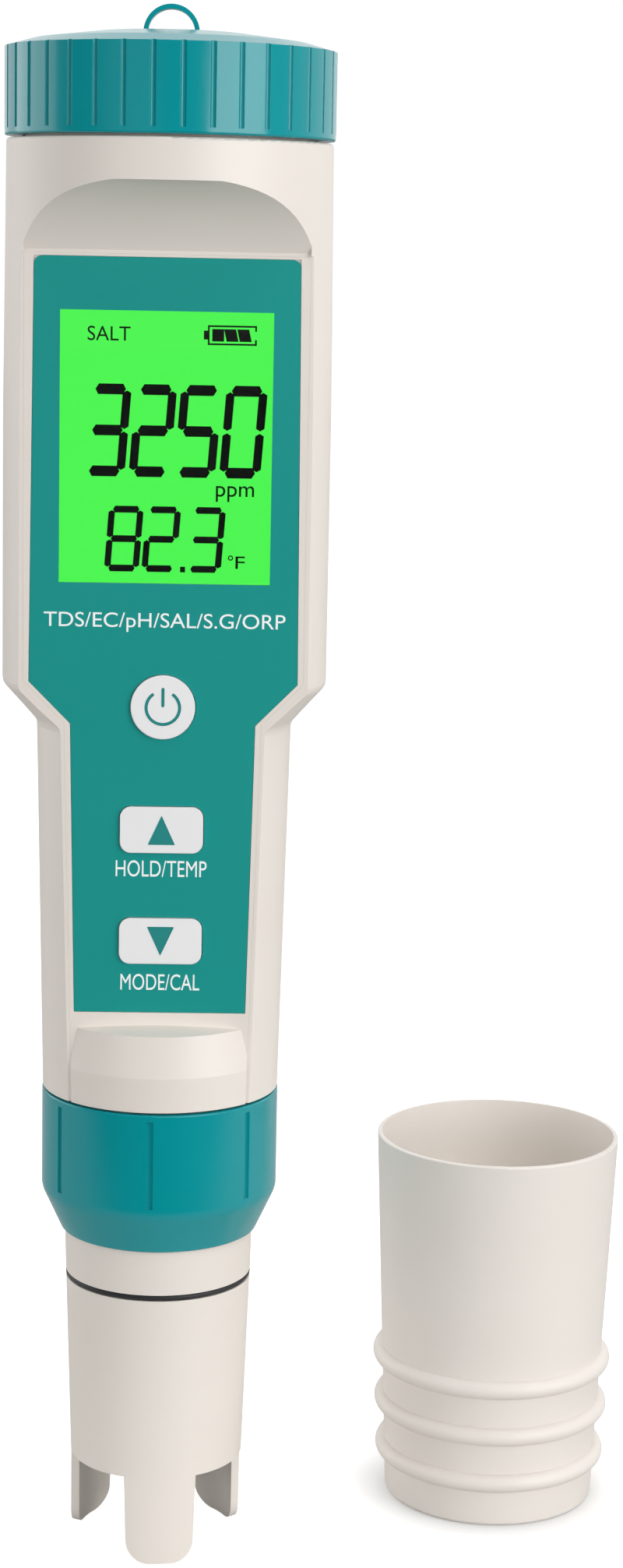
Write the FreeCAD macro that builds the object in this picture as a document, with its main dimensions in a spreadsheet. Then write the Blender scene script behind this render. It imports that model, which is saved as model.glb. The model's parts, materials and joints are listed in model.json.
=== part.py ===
import FreeCAD, Part
import math
import os
import re
import Sketcher

# Digital water tester: a pen-shaped instrument on the Z axis, guard tips at Z = 0, flat face towards -Y,
# with its storage cap standing beside it.  Millimetres.

SIZES = {
    # probe, from the guard tips upwards
    "probe_rad": 11.45,
    "probe_taper": 0.85,
    "probe_neck_long": 6.3,
    "probe_bore": 9.55,
    "prong_long": 11.0,
    "barrel_long": 33.3,
    "prong_top_half": 4.35,
    "prong_low_half": 4.02,
    "prong_round": 2.7,
    "prong_turn": 4.0,
    "flange_thick": 1.7,
    "flange_lip": 1.05,
    "seal_drop": 10.1,
    "seal_cord": 0.35,
    "seal_proud": 0.02,
    "washer_thick": 0.6,
    "plug_deep": 4.0,
    "plug_tall": 8.5,
    "plug_round": 0.4,
    "pin_rad": 0.4,
    "pin_circle": 5.0,
    "pin_long": 3.5,
    "pin_count": 6,
    "plate_lift": 1.5,
    "plate_thick": 2.5,
    # collar nut
    "collar_skin": 0.05,
    "collar_lip": 3.8,
    "collar_cone": 5.1,
    "collar_tall": 17.6,
    "collar_lip_wall": 0.55,
    "collar_round": 1.4,
    "rib_count": 7,
    "rib_turn": 3.7,
    "rib_rad": 0.42,
    "rib_low_margin": 1.0,
    "rib_top_margin": 0.8,
    # housing: tail, grip, shoulder, head
    "body_gap": 0.3,
    "fit_gap": 0.1,
    "wall": 2.0,
    "grip_step": 1.7,
    "grip_taper": 0.88,
    "head_rad": 19.27,
    "head_taper": 0.32,
    "head_straight": 32.5,
    "head_crown": 12.75,
    "shoulder_tall": 4.6,
    "shoulder_round": 1.3,
    "rim_round": 0.35,
    "bulkhead": 9.8,
    "face": 9.4,
    "socket_step": 1.5,
    "socket_flange": 1.4,
    # scooped notch above the flat face
    "scoop_gap": 0.45,
    "scoop_rad": 18.0,
    "scoop_ahead": 15.7,
    "scoop_below": 8.5,
    "scoop_rise": 8.05,
    # front cover, nose and printed overlay
    "cover_thick": 2.0,
    "cover_gap": 0.01,
    "seam_inset": 0.42,
    "cover_border": 0.45,
    "label_thick": 0.25,
    "label_margin": 0.75,
    "label_head_taper": 0.45,
    "label_round": 0.9,
    "label_shelf": 1.6,
    "label_step": 4.9,
    "waist_lift": 0.7,
    "nose_tall": 4.0,
    "flare_tall": 5.0,
    "flare_taper": 0.8,
    "shelf_drop": 0.4,
    "nose_shell": 2.1,
    # display, seen through the window
    "window_half": 12.2,
    "window_tall": 31.2,
    "window_above": 6.0,
    "window_below": 11.6,
    "window_recess": 0.45,
    "window_thick": 1.1,
    "glass_thick": 1.4,
    "glass_margin": 1.1,
    "light_thick": 1.1,
    "frame_margin": 0.9,
    # keys
    "power_rad": 3.76,
    "power_lift": 2.1,
    "power_pitch": 14.55,
    "key_pitch": 13.35,
    "key_lift": 8.7,
    "key_half": 4.88,
    "key_tall": 5.5,
    "key_round": 1.3,
    "key_proud": 0.35,
    "key_gap": 0.08,
    "key_lip": 0.9,
    "key_lip_thick": 0.6,
    "key_travel": 0.4,
    "stem_rad": 1.6,
    "switch_side": 4.6,
    "switch_tall": 1.1,
    "plunger_rad": 0.9,
    # main board and what it carries
    "board_clear": 0.4,
    "board_thick": 1.6,
    "board_head_half": 14.6,
    "board_grip_half": 9.3,
    "board_top_gap": 2.2,
    "board_low_gap": 6.4,
    "boss_rad": 1.7,
    "boss_edge": 2.6,
    "boss_rise": 3.2,
    "boss_grip_edge": 1.9,
    "screw_rad": 0.7,
    "screw_long": 2.9,
    "screw_head_rad": 1.5,
    "screw_head": 0.9,
    # battery neck, holder and cells
    "neck_step": 2.15,
    "neck_wall": 1.6,
    "neck_tall": 8.0,
    "cell_rad": 5.8,
    "cell_tall": 5.4,
    "cell_web": 0.8,
    "well_gap": 0.15,
    "holder_gap": 0.2,
    "holder_floor": 0.6,
    "holder_below": 0.5,
    "contact_tall": 0.7,
    "lead_rad": 0.5,
    # battery cap and lanyard loop
    "cap_over": 0.2,
    "cap_side": 10.0,
    "cap_bevel": 3.2,
    "cap_bevel_rise": 0.9,
    "cap_dome_rise": 0.9,
    "cap_flat_rad": 9.0,
    "cap_roof_thick": 1.8,
    "cap_round": 0.8,
    "cap_foot_round": 0.25,
    "flute_count": 36,
    "flute_rad": 0.32,
    "flute_depth": 0.28,
    "rim_tall": 0.75,
    "gasket_thick": 1.4,
    "bridge_gap": 1.6,
    "bridge_thick": 0.4,
    "loop_wide": 6.5,
    "loop_rise": 3.35,
    "loop_strap": 0.55,
    "loop_deep": 1.9,
    # storage cap, beside the tester
    "store_x": 43.0,
    "store_y": 14.5,
    "store_gap": 0.4,
    "store_mouth_wall": 0.6,
    "store_taper": 2.0,
    "store_tip_gap": 0.8,
    "store_mouth_deep": 9.0,
    "store_seal_long": 7.0,
    "store_seal_gap": 0.03,
    "store_floor": 1.6,
    "store_clear": 0.3,
    "store_round": 0.6,
    "band_cord": 1.15,
    "band_first": 5.9,
    "band_pitch": 6.25,
    "band_count": 3,
    "sponge_gap": 0.75,
    "sponge_tall": 3.0,
}

# radii, heights and fits worked out from the sizes above; heights start at the guard tips
WORKED_OUT = {
    "skirt_low": "prong_long",
    "probe_low_rad": "probe_rad - probe_taper",
    "flange_low": "prong_long + barrel_long",
    "flange_top": "flange_low + flange_thick",
    "flange_rad": "probe_rad + flange_lip",
    "probe_straight": "flange_low - probe_neck_long",
    "seal_at": "flange_low - seal_drop",
    "plug_low": "flange_top - plug_deep",
    "plug_top": "flange_top + plug_tall",
    "plug_rad": "tail_bore - body_gap - fit_gap",
    "pin_top": "plug_top + pin_long",
    "plate_low": "skirt_low + plate_lift",
    "collar_lip_top": "flange_low - body_gap",
    "collar_low": "collar_lip_top - collar_lip",
    "collar_bend": "collar_low + collar_cone",
    "collar_top": "collar_low + collar_tall",
    "collar_rad": "grip_low_rad + collar_skin",
    "collar_bore": "probe_rad + body_gap",
    "collar_low_rad": "probe_rad + collar_lip_wall",
    "rib_low": "collar_bend + rib_low_margin",
    "rib_top": "collar_top - rib_top_margin",
    "tail_low": "flange_top + washer_thick + body_gap",
    "tail_rad": "flange_rad + fit_gap",
    "tail_bore": "tail_rad - wall",
    "grip_low": "collar_top + body_gap",
    "grip_low_rad": "tail_rad + grip_step",
    "grip_top_rad": "grip_low_rad + grip_taper",
    "socket_seat": "grip_low + socket_step",
    "socket_low": "plug_top + body_gap + fit_gap",
    "nose_low": "grip_low + nose_tall",
    "shelf_edge": "nose_low + flare_tall",
    "shelf_edge_rad": "grip_low_rad - flare_taper",
    "shelf_top": "shelf_edge + shelf_drop",
    "label_low": "shelf_top + label_shelf",
    "down_at": "label_low + key_lift",
    "up_at": "down_at + key_pitch",
    "power_at": "up_at + power_pitch",
    "label_waist_low": "power_at - power_lift",
    "label_waist_top": "label_waist_low + label_step",
    "shoulder_low": "label_waist_low - waist_lift",
    "shoulder_top": "shoulder_low + shoulder_tall",
    "window_low": "label_waist_top + window_below",
    "window_top": "window_low + window_tall",
    "label_top": "window_top + window_above",
    "scoop_foot": "label_top + scoop_gap",
    "head_waist": "shoulder_top + head_straight",
    "head_top": "scoop_foot + head_crown",
    "head_top_rad": "head_rad - head_taper",
    "cover_head_half": "sqrt(head_rad ^ 2 - face ^ 2) - seam_inset - 0.1",
    "cover_grip_top_half": "sqrt(grip_top_rad ^ 2 - face ^ 2) - seam_inset",
    "cover_grip_low_half": "sqrt(grip_low_rad ^ 2 - face ^ 2) - seam_inset",
    "label_head_low_half": "cover_head_half - label_margin + 0.05",
    "label_head_top_half": "label_head_low_half - label_head_taper",
    "label_grip_top_half": "cover_grip_top_half - label_margin",
    "label_grip_low_half": "cover_grip_low_half - label_margin + 0.5",
    "board_front": "face - cover_thick - fit_gap * 2 - glass_thick - light_thick - board_clear",
    "board_top": "bay_top - board_top_gap",
    "board_shoulder": "shoulder_top + 1",
    "board_low": "socket_seat + board_low_gap",
    "boss_high_x": "board_head_half - boss_edge",
    "boss_high_z": "board_shoulder + boss_rise",
    "boss_low_x": "board_grip_half - boss_grip_edge",
    "boss_low_z": "(up_at + down_at) / 2",
    "neck_rad": "head_top_rad - neck_step",
    "neck_bore": "neck_rad - neck_wall",
    "neck_top": "head_top + neck_tall",
    "chamber_floor": "neck_top - holder_floor - contact_tall - 2 * cell_tall - holder_below",
    "bay_top": "chamber_floor - bulkhead",
    "cell_apart": "2 * (cell_rad + well_gap) + cell_web",
    "cap_foot": "head_top + body_gap",
    "cap_rad": "head_top_rad + cap_over",
    "cap_bore": "neck_rad + body_gap",
    "cap_side_top": "cap_foot + cap_side",
    "cap_bevel_rad": "cap_rad - cap_bevel",
    "cap_bevel_top": "cap_side_top + cap_bevel_rise",
    "cap_top": "cap_bevel_top + cap_dome_rise",
    "cap_roof": "cap_top - cap_roof_thick",
    "bridge_rad": "neck_bore - bridge_gap",
    "store_rad": "collar_rad + store_gap + store_mouth_wall",
    "store_foot_rad": "store_rad - store_taper",
    "store_tall": "collar_bend + store_tip_gap + store_floor",
    "sponge_rad": "probe_bore - sponge_gap",
}

OUTSIDE = "40"  # a distance that reaches past every piece

doc = FreeCAD.newDocument("water_tester")
sheet = doc.addObject("Spreadsheet::Sheet", "Sizes")
for row, (name, number) in enumerate(SIZES.items(), 1):
    sheet.set(f"A{row}", str(number))
    sheet.setAlias(f"A{row}", name)
doc.recompute()

WORD = re.compile(r"[a-z][a-z_]+")
TURNS = {
    "+Z": FreeCAD.Rotation(),
    "-Y": FreeCAD.Rotation(FreeCAD.Vector(1, 0, 0), 90),
    "+Y": FreeCAD.Rotation(FreeCAD.Vector(1, 0, 0), -90),
    "+X": FreeCAD.Rotation(FreeCAD.Vector(0, 1, 0), 90),
}
nodes = {}


def formula(text):
    """Expression text in which every name is worked out from cells of the sheet."""
    def spell(word):
        if word[0] in SIZES:
            return "Sizes." + word[0]
        if word[0] in WORKED_OUT:
            return "(" + formula(WORKED_OUT[word[0]]) + ")"
        return word[0]
    return WORD.sub(spell, text)


def value(text):
    """Number that a formula gives now."""
    return float(sheet.evalExpression(formula(text)))


def bind(thing, path, text):
    """Tie one property to a formula."""
    thing.setExpression(path, formula(text))


def keep(name, thing):
    """Make the object a sub-part of its own: its label names its file."""
    thing.Label = name
    nodes[name] = thing
    return thing


# ---- sketches -------------------------------------------------------------------------------------------

def sketch_on(body, role, lift="0"):
    """Empty sketch on one of the body's own origin planes, moved along the plane's normal."""
    sketch = body.newObject("Sketcher::SketchObject", body.Name + "_sketch")
    plane = next(item for item in body.Origin.OriginFeatures if item.Role == role)
    sketch.AttachmentSupport = [(plane, "")]
    sketch.MapMode = "FlatFace"
    bind(sketch, "AttachmentOffset.Base.z", lift)
    return sketch


def add_constraints(sketch, rows):
    """Add constraints; a row's second item, if any, is the formula that drives its size."""
    first = sketch.ConstraintCount
    sketch.addConstraint([row[0] for row in rows])
    for number, row in enumerate(rows, first):
        if len(row) > 1:
            bind(sketch, f"Constraints[{number}]", row[1])


def corner_pins(line, corner):
    """Both distances of a line's start from the origin."""
    across = Sketcher.Constraint("DistanceX", -1, 1, line, 1, value(corner[0]))
    upward = Sketcher.Constraint("DistanceY", -1, 1, line, 1, value(corner[1]))
    return [(across, corner[0]), (upward, corner[1])]


def polygon(sketch, corners):
    """Closed outline of straight lines through the corners, each an (x, y) pair of formulas."""
    points = [FreeCAD.Vector(value(x), value(y), 0) for x, y in corners]
    first = sketch.GeometryCount
    count = len(points)
    sketch.addGeometry([Part.LineSegment(points[i], points[(i + 1) % count]) for i in range(count)])
    rows = []
    for i in range(count):
        rows.append((Sketcher.Constraint("Coincident", first + i, 2, first + (i + 1) % count, 1),))
    for i, corner in enumerate(corners):
        rows += corner_pins(first + i, corner)
    add_constraints(sketch, rows)


def mirrored(corners):
    """Outline that is the same on both sides of the vertical axis, from its right-hand corners."""
    left = [("-(" + x + ")", y) for x, y in reversed(corners)]
    return corners + left


def circle(sketch, x, y, radius):
    """Circle with its centre and radius bound."""
    number = sketch.GeometryCount
    centre = FreeCAD.Vector(value(x), value(y), 0)
    sketch.addGeometry(Part.Circle(centre, FreeCAD.Vector(0, 0, 1), value(radius)))
    add_constraints(sketch, [
        (Sketcher.Constraint("Radius", number, value(radius)), radius),
        (Sketcher.Constraint("DistanceX", -1, 1, number, 3, value(x)), x),
        (Sketcher.Constraint("DistanceY", -1, 1, number, 3, value(y)), y),
    ])


def rounded(sketch, left, right, low, high, radius):
    """Rectangle with four equal round corners."""
    x0, x1, y0, y1, r = (value(text) for text in (left, right, low, high, radius))
    first = sketch.GeometryCount
    sides = [((x0 + r, y0), (x1 - r, y0)), ((x1, y0 + r), (x1, y1 - r)),
             ((x1 - r, y1), (x0 + r, y1)), ((x0, y1 - r), (x0, y0 + r))]
    centres = [(x1 - r, y0 + r), (x1 - r, y1 - r), (x0 + r, y1 - r), (x0 + r, y0 + r)]
    shapes = [Part.LineSegment(FreeCAD.Vector(*a, 0), FreeCAD.Vector(*b, 0)) for a, b in sides]
    for quarter, centre in enumerate(centres):
        round_line = Part.Circle(FreeCAD.Vector(*centre, 0), FreeCAD.Vector(0, 0, 1), r)
        start = (quarter - 1) * math.pi / 2
        shapes.append(Part.ArcOfCircle(round_line, start, start + math.pi / 2))
    sketch.addGeometry(shapes)
    rows = []
    for side in range(4):
        arc = first + 4 + side
        rows.append((Sketcher.Constraint("Tangent", first + side, 2, arc, 1),))
        rows.append((Sketcher.Constraint("Tangent", arc, 2, first + (side + 1) % 4, 1),))
    rows += [(Sketcher.Constraint("Horizontal", first),), (Sketcher.Constraint("Horizontal", first + 2),)]
    rows += [(Sketcher.Constraint("Vertical", first + 1),), (Sketcher.Constraint("Vertical", first + 3),)]
    rows += [(Sketcher.Constraint("Equal", first + 4, first + 5 + side),) for side in range(3)]
    rows += [
        (Sketcher.Constraint("Radius", first + 4, r), radius),
        (Sketcher.Constraint("DistanceX", -1, 1, first + 3, 1, x0), left),
        (Sketcher.Constraint("DistanceX", -1, 1, first + 1, 1, x1), right),
        (Sketcher.Constraint("DistanceY", -1, 1, first, 1, y0), low),
        (Sketcher.Constraint("DistanceY", -1, 1, first + 2, 1, y1), high),
    ]
    add_constraints(sketch, rows)


# ---- features -------------------------------------------------------------------------------------------

def new_body(name):
    """Empty body."""
    return doc.addObject("PartDesign::Body", name)


def extrude(body, kind, sketch, length, backwards=False):
    """Pad or Pocket of a sketch; backwards turns it to the other side of the sketch plane."""
    feature = body.newObject("PartDesign::" + kind, body.Name + "_" + kind.lower())
    feature.Profile = sketch
    bind(feature, "Length", length)
    feature.Reversed = backwards
    return feature


def turn(body, sketch, kind="Revolution"):
    """Full turn of a sketch about the vertical axis."""
    feature = body.newObject("PartDesign::" + kind, body.Name + "_" + kind.lower())
    feature.Profile = sketch
    feature.ReferenceAxis = (sketch, ["V_Axis"])
    feature.Angle = 360
    return feature


def around(body, feature, count):
    """Repeat a feature evenly about the vertical axis."""
    pattern = body.newObject("PartDesign::PolarPattern", body.Name + "_around")
    pattern.Originals = [feature]
    axis = next(item for item in body.Origin.OriginFeatures if item.Role == "Z_Axis")
    pattern.Axis = (axis, [""])
    pattern.Angle = 360
    bind(pattern, "Occurrences", count)
    body.Tip = pattern
    return pattern


def round_edges(body, radius, wanted):
    """Fillet the edges of the body's last feature for which wanted(edge) is true."""
    doc.recompute()
    base = body.Tip
    names = [f"Edge{number}" for number, edge in enumerate(base.Shape.Edges, 1) if wanted(edge)]
    if not names:
        raise RuntimeError(f"{body.Name} has no edge to round")
    fillet = body.newObject("PartDesign::Fillet", body.Name + "_fillet")
    fillet.Base = (base, names)
    bind(fillet, "Radius", radius)
    return fillet


def near(number, text):
    """True if a measured number is what the formula gives."""
    return abs(number - value(text)) < 0.01


def ring_at(places):
    """Test for round edges about the axis at any of the (radius, height) places."""
    def wanted(edge):
        if not isinstance(edge.Curve, Part.Circle):
            return False
        spot = edge.Curve
        return any(near(spot.Radius, radius) and near(spot.Center.z, height) for radius, height in places)
    return wanted


def along_depth(places):
    """Test for straight edges parallel to Y that stand at any of the (x, z) places."""
    def wanted(edge):
        ends = [vertex.Point for vertex in edge.Vertexes]
        if len(ends) != 2 or abs(ends[0].x - ends[1].x) + abs(ends[0].z - ends[1].z) > 0.01:
            return False
        return any(near(ends[0].x, x) and near(ends[0].z, z) for x, z in places)
    return wanted


def lathe(name, corners, roundings=()):
    """Body turned from a closed (radius, height) outline; roundings are (radius, [ring places])."""
    body = new_body(name)
    sketch = sketch_on(body, "XZ_Plane")
    polygon(sketch, corners)
    turn(body, sketch)
    for radius, places in roundings:
        round_edges(body, radius, ring_at(places))
    return body


def tube(name, inner, outer, low, high):
    """Plain ring of rectangular section."""
    return lathe(name, [(inner, low), (outer, low), (outer, high), (inner, high)])


def plate(name, corners, front, thick):
    """Flat piece cut from an (x, z) outline, from Y = -front backwards by its thickness."""
    body = new_body(name)
    sketch = sketch_on(body, "XZ_Plane", front)
    polygon(sketch, corners)
    extrude(body, "Pad", sketch, thick, backwards=True)
    return body


def place(thing, at):
    """Bind an object's position."""
    for axis, text in zip("xyz", at):
        bind(thing, "Placement.Base." + axis, text)


def cylinder(name, radius, height, at, along="+Z"):
    """Cylinder whose base centre stands at a point."""
    piece = doc.addObject("Part::Cylinder", name)
    bind(piece, "Radius", radius)
    bind(piece, "Height", height)
    piece.Placement = FreeCAD.Placement(FreeCAD.Vector(), TURNS[along])
    place(piece, at)
    return piece


def sphere(name, radius, at):
    """Ball about a point."""
    piece = doc.addObject("Part::Sphere", name)
    bind(piece, "Radius", radius)
    place(piece, at)
    return piece


def block(name, x, y, z):
    """Box between two formulas on each axis."""
    piece = doc.addObject("Part::Box", name)
    for side, (low, high) in zip(("Length", "Width", "Height"), (x, y, z)):
        bind(piece, side, f"({high}) - ({low})")
    place(piece, (x[0], y[0], z[0]))
    return piece


def torus(name, ring, cord, height):
    """Ring of round section about the axis."""
    piece = doc.addObject("Part::Torus", name)
    bind(piece, "Radius1", ring)
    bind(piece, "Radius2", cord)
    place(piece, ("0", "0", height))
    return piece


def cut(name, base, *tools):
    """Base with each tool taken away."""
    for number, tool in enumerate(tools, 1):
        piece = doc.addObject("Part::Cut", f"{name}_cut_{number}")
        piece.Base = base
        piece.Tool = tool
        base = piece
    return base


def fuse(name, *pieces):
    """Pieces joined into one."""
    joined = doc.addObject("Part::MultiFuse", name)
    joined.Shapes = list(pieces)
    return joined


def common(name, first, second):
    """What two pieces share."""
    shared = doc.addObject("Part::MultiCommon", name)
    shared.Shapes = [first, second]
    return shared


def group(name, pieces):
    """Separate solids kept together in one node."""
    bundle = doc.addObject("Part::Compound", name)
    bundle.Links = pieces
    return bundle


# ---- housing --------------------------------------------------------------------------------------------

def cover_corners(gap):
    """Right-hand corners of the cover's outline, grown by a gap."""
    return [
        (f"cover_grip_low_half + {gap}", "grip_low"),
        (f"cover_grip_top_half + {gap}",
         "label_waist_low + cover_grip_top_half - label_grip_top_half - 1.4142 * cover_border"),
        (f"cover_head_half + {gap}",
         "label_waist_top + cover_head_half - label_head_low_half - 1.4142 * cover_border"),
        (f"cover_head_half + {gap}", f"scoop_foot - 0.1 + {gap}"),
    ]


def outer_corners():
    """Outside of the housing as a solid of revolution, from the foot of the grip up to the scoop."""
    return [("0", "grip_low"), ("grip_low_rad", "grip_low"), ("grip_top_rad", "shoulder_low"),
            ("head_rad", "shoulder_top"), ("head_rad", "scoop_foot"), ("0", "scoop_foot")]


def body_shell():
    """One-piece housing: battery neck, head, shoulder, grip and threaded tail, open at the front."""
    body = new_body("body_shell")
    outline = sketch_on(body, "XZ_Plane")
    polygon(outline, [
        ("tail_rad", "tail_low"),
        ("tail_rad", "grip_low"),
        ("grip_low_rad", "grip_low"),
        ("grip_top_rad", "shoulder_low"),
        ("head_rad", "shoulder_top"),
        ("head_rad", "head_waist"),
        ("head_top_rad", "head_top"),
        ("neck_rad", "head_top"),
        ("neck_rad", "neck_top"),
        ("neck_bore", "neck_top"),
        ("neck_bore", "chamber_floor"),
        ("0", "chamber_floor"),
        ("0", "bay_top"),
        ("head_rad - wall", "bay_top"),
        ("head_rad - wall", "shoulder_top + wall / 2"),
        ("grip_top_rad - wall", "shoulder_low + wall / 2"),
        ("grip_low_rad - wall", "socket_seat"),
        ("tail_bore", "socket_seat"),
        ("tail_bore", "tail_low"),
    ])
    turn(body, outline)
    round_edges(body, "shoulder_round", ring_at([("head_rad", "shoulder_top"),
                                                 ("grip_top_rad", "shoulder_low")]))
    round_edges(body, "rim_round", ring_at([("head_top_rad", "head_top")]))
    flat = sketch_on(body, "XZ_Plane", "face")
    polygon(flat, mirrored([(OUTSIDE, "grip_low"), (OUTSIDE, "scoop_foot")]))
    extrude(body, "Pocket", flat, OUTSIDE, backwards=True)
    opening = sketch_on(body, "XZ_Plane", "face - cover_thick - cover_gap")
    polygon(opening, mirrored(cover_corners("cover_gap")))
    extrude(body, "Pocket", opening, OUTSIDE, backwards=True)
    wires = sketch_on(body, "XY_Plane", "chamber_floor")
    for side in ("-4", "4"):
        circle(wires, side, "9", "1.1")
    extrude(body, "Pocket", wires, "chamber_floor - bay_top")
    keep("body_shell", cut("body_shell_scooped", body, scoop()))


def scoop():
    """Coved notch above the flat face, as wide as the front cover."""
    roll = cylinder("scoop_roll", "scoop_rad", f"2 * {OUTSIDE}",
                    (f"-{OUTSIDE}", "-(face + scoop_ahead)", "scoop_foot - scoop_below"), "+X")
    room = block("scoop_room", ("-cover_head_half", "cover_head_half"), (f"-{OUTSIDE}", "-face"),
                 ("scoop_foot", "scoop_foot + scoop_rise"))
    return common("scoop_cove", roll, room)


def key_hole(name, half, tall, centre, gap):
    """Rounded opening for an arrow key."""
    tool = new_body(name)
    outline = sketch_on(tool, "XZ_Plane", "face + 1")
    rounded(outline, f"-({half} + {gap})", f"{half} + {gap}", f"{centre} - {tall} / 2 - {gap}",
            f"{centre} + {tall} / 2 + {gap}", f"key_round + {gap}")
    extrude(tool, "Pad", outline, "cover_thick + 2", backwards=True)
    return tool


def window_hole(name, gap, front, deep):
    """Block the size of the display window, grown by a gap."""
    return block(name, (f"-window_half - {gap}", f"window_half + {gap}"),
                 (f"-({front})", f"-({front}) + {deep}"), (f"window_low - {gap}", f"window_top + {gap}"))


def label_corners(gap="0"):
    """Right-hand corners of the printed overlay."""
    return [
        (f"label_grip_low_half + {gap}", f"label_low - {gap}"),
        (f"label_grip_top_half + {gap}", "label_waist_low"),
        (f"label_head_low_half + {gap}", "label_waist_top"),
        (f"label_head_top_half + {gap}", f"label_top + {gap}"),
    ]


def front_cover():
    """Front plate with the nose below its shelf, bosses behind it and openings for window and keys."""
    outer = lathe("cover_outer", outer_corners())
    blank = plate("cover_blank", mirrored(cover_corners("0")), "face + 10", "cover_thick + 10")
    solid = common("cover_solid", outer, blank)
    above = block("cover_above", (f"-{OUTSIDE}", OUTSIDE), (f"-{OUTSIDE}", "-face"),
                  ("shelf_top", "head_top"))
    ring = lathe("cover_ring", [("face", "shelf_top"), ("shelf_edge_rad", "shelf_edge"),
                                ("grip_low_rad + 0.1", "nose_low"), ("head_rad", "nose_low"),
                                ("head_rad", "shelf_top + 0.01"), ("face", "shelf_top + 0.01")])
    slab = block("cover_slab", (f"-{OUTSIDE}", OUTSIDE), (f"-{OUTSIDE}", "-face"),
                 ("nose_low", "shelf_top + 0.02"))
    flare = common("cover_flare", ring, slab)
    hollow = cylinder("cover_hollow", "grip_low_rad - nose_shell", "shelf_edge - 2 - grip_low + 1",
                      ("0", "0", "grip_low - 1"))
    recess = plate("cover_recess", mirrored(label_corners("fit_gap / 2")), "face + 1", "1 + label_thick")
    window = window_hole("cover_window", "fit_gap / 2", "face + 1", "cover_thick + 2")
    power = cylinder("cover_power", "power_rad + key_gap", "cover_thick + 2", ("0", "-face - 1", "power_at"),
                     "+Y")
    holes = [key_hole(f"cover_{name}", "key_half", "key_tall", name + "_at", "key_gap")
             for name in ("up", "down")]
    shaped = cut("cover_shaped", solid, above, flare, hollow, recess, window, power, *holes)
    bosses = []
    pilots = []
    for number, (x, z) in enumerate(screw_places()):
        bosses.append(cylinder(f"cover_boss_{number}", "boss_rad", "face - cover_thick - board_front",
                               (x, "-face + cover_thick", z), "+Y"))
        pilots.append(cylinder(f"cover_pilot_{number}", "screw_rad + 0.05", "screw_long",
                               (x, "-board_front", z), "-Y"))
    joined = fuse("cover_joined", shaped, *bosses)
    return keep("front_cover", cut("cover_pilots", joined, *pilots))


def screw_places():
    """Where the board screws stand, as (x, z) formulas."""
    places = []
    for x, z in (("boss_high_x", "boss_high_z"), ("boss_low_x", "boss_low_z")):
        places += [(x, z), ("-" + x, z)]
    return places


def panel_label():
    """Printed overlay in the cover's recess, open at the window and the keys."""
    sheet_body = new_body("label_sheet")
    outline = sketch_on(sheet_body, "XZ_Plane", "face")
    polygon(outline, mirrored(label_corners()))
    extrude(sheet_body, "Pad", outline, "label_thick", backwards=True)
    corners = [("label_head_top_half", "label_top"), ("-label_head_top_half", "label_top")]
    round_edges(sheet_body, "label_round", along_depth(corners))
    window = window_hole("label_window", "0", "face + 1", "2")
    power = cylinder("label_power", "power_rad + key_gap", "2", ("0", "-face - 1", "power_at"), "+Y")
    holes = [key_hole(f"label_{name}", "key_half", "key_tall", name + "_at", "key_gap")
             for name in ("up", "down")]
    return keep("panel_label", cut("label_holes", sheet_body, window, power, *holes))


# ---- display --------------------------------------------------------------------------------------------

def display():
    """Clear window, liquid crystal cell, light guide behind it and the frame that holds them."""
    keep("display_window", window_hole("display_window", "0", "face - window_recess", "window_thick"))
    side = "window_half + glass_margin"
    low = "window_low - glass_margin"
    high = "window_top + glass_margin"
    front = "-face + cover_thick + fit_gap"
    glass = block("lcd_glass", (f"-({side})", side), (front, f"{front} + glass_thick"), (low, high))
    keep("lcd_glass", glass)
    back = f"{front} + glass_thick + fit_gap"
    keep("lcd_backlight", block("lcd_backlight", (f"-({side})", side), (back, f"{back} + light_thick"),
                                (low, high)))
    edge = f"{side} + frame_margin"
    outer = block("frame_outer", (f"-({edge})", edge), (front, f"{back} + light_thick"),
                  (f"{low} - frame_margin", f"{high} + frame_margin"))
    inner = block("frame_inner", (f"-({side} + fit_gap)", f"{side} + fit_gap"), (f"{front} - 1", "0"),
                  (f"{low} - fit_gap", f"{high} + fit_gap"))
    keep("lcd_frame", cut("lcd_frame", outer, inner))


# ---- keys -----------------------------------------------------------------------------------------------

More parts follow.
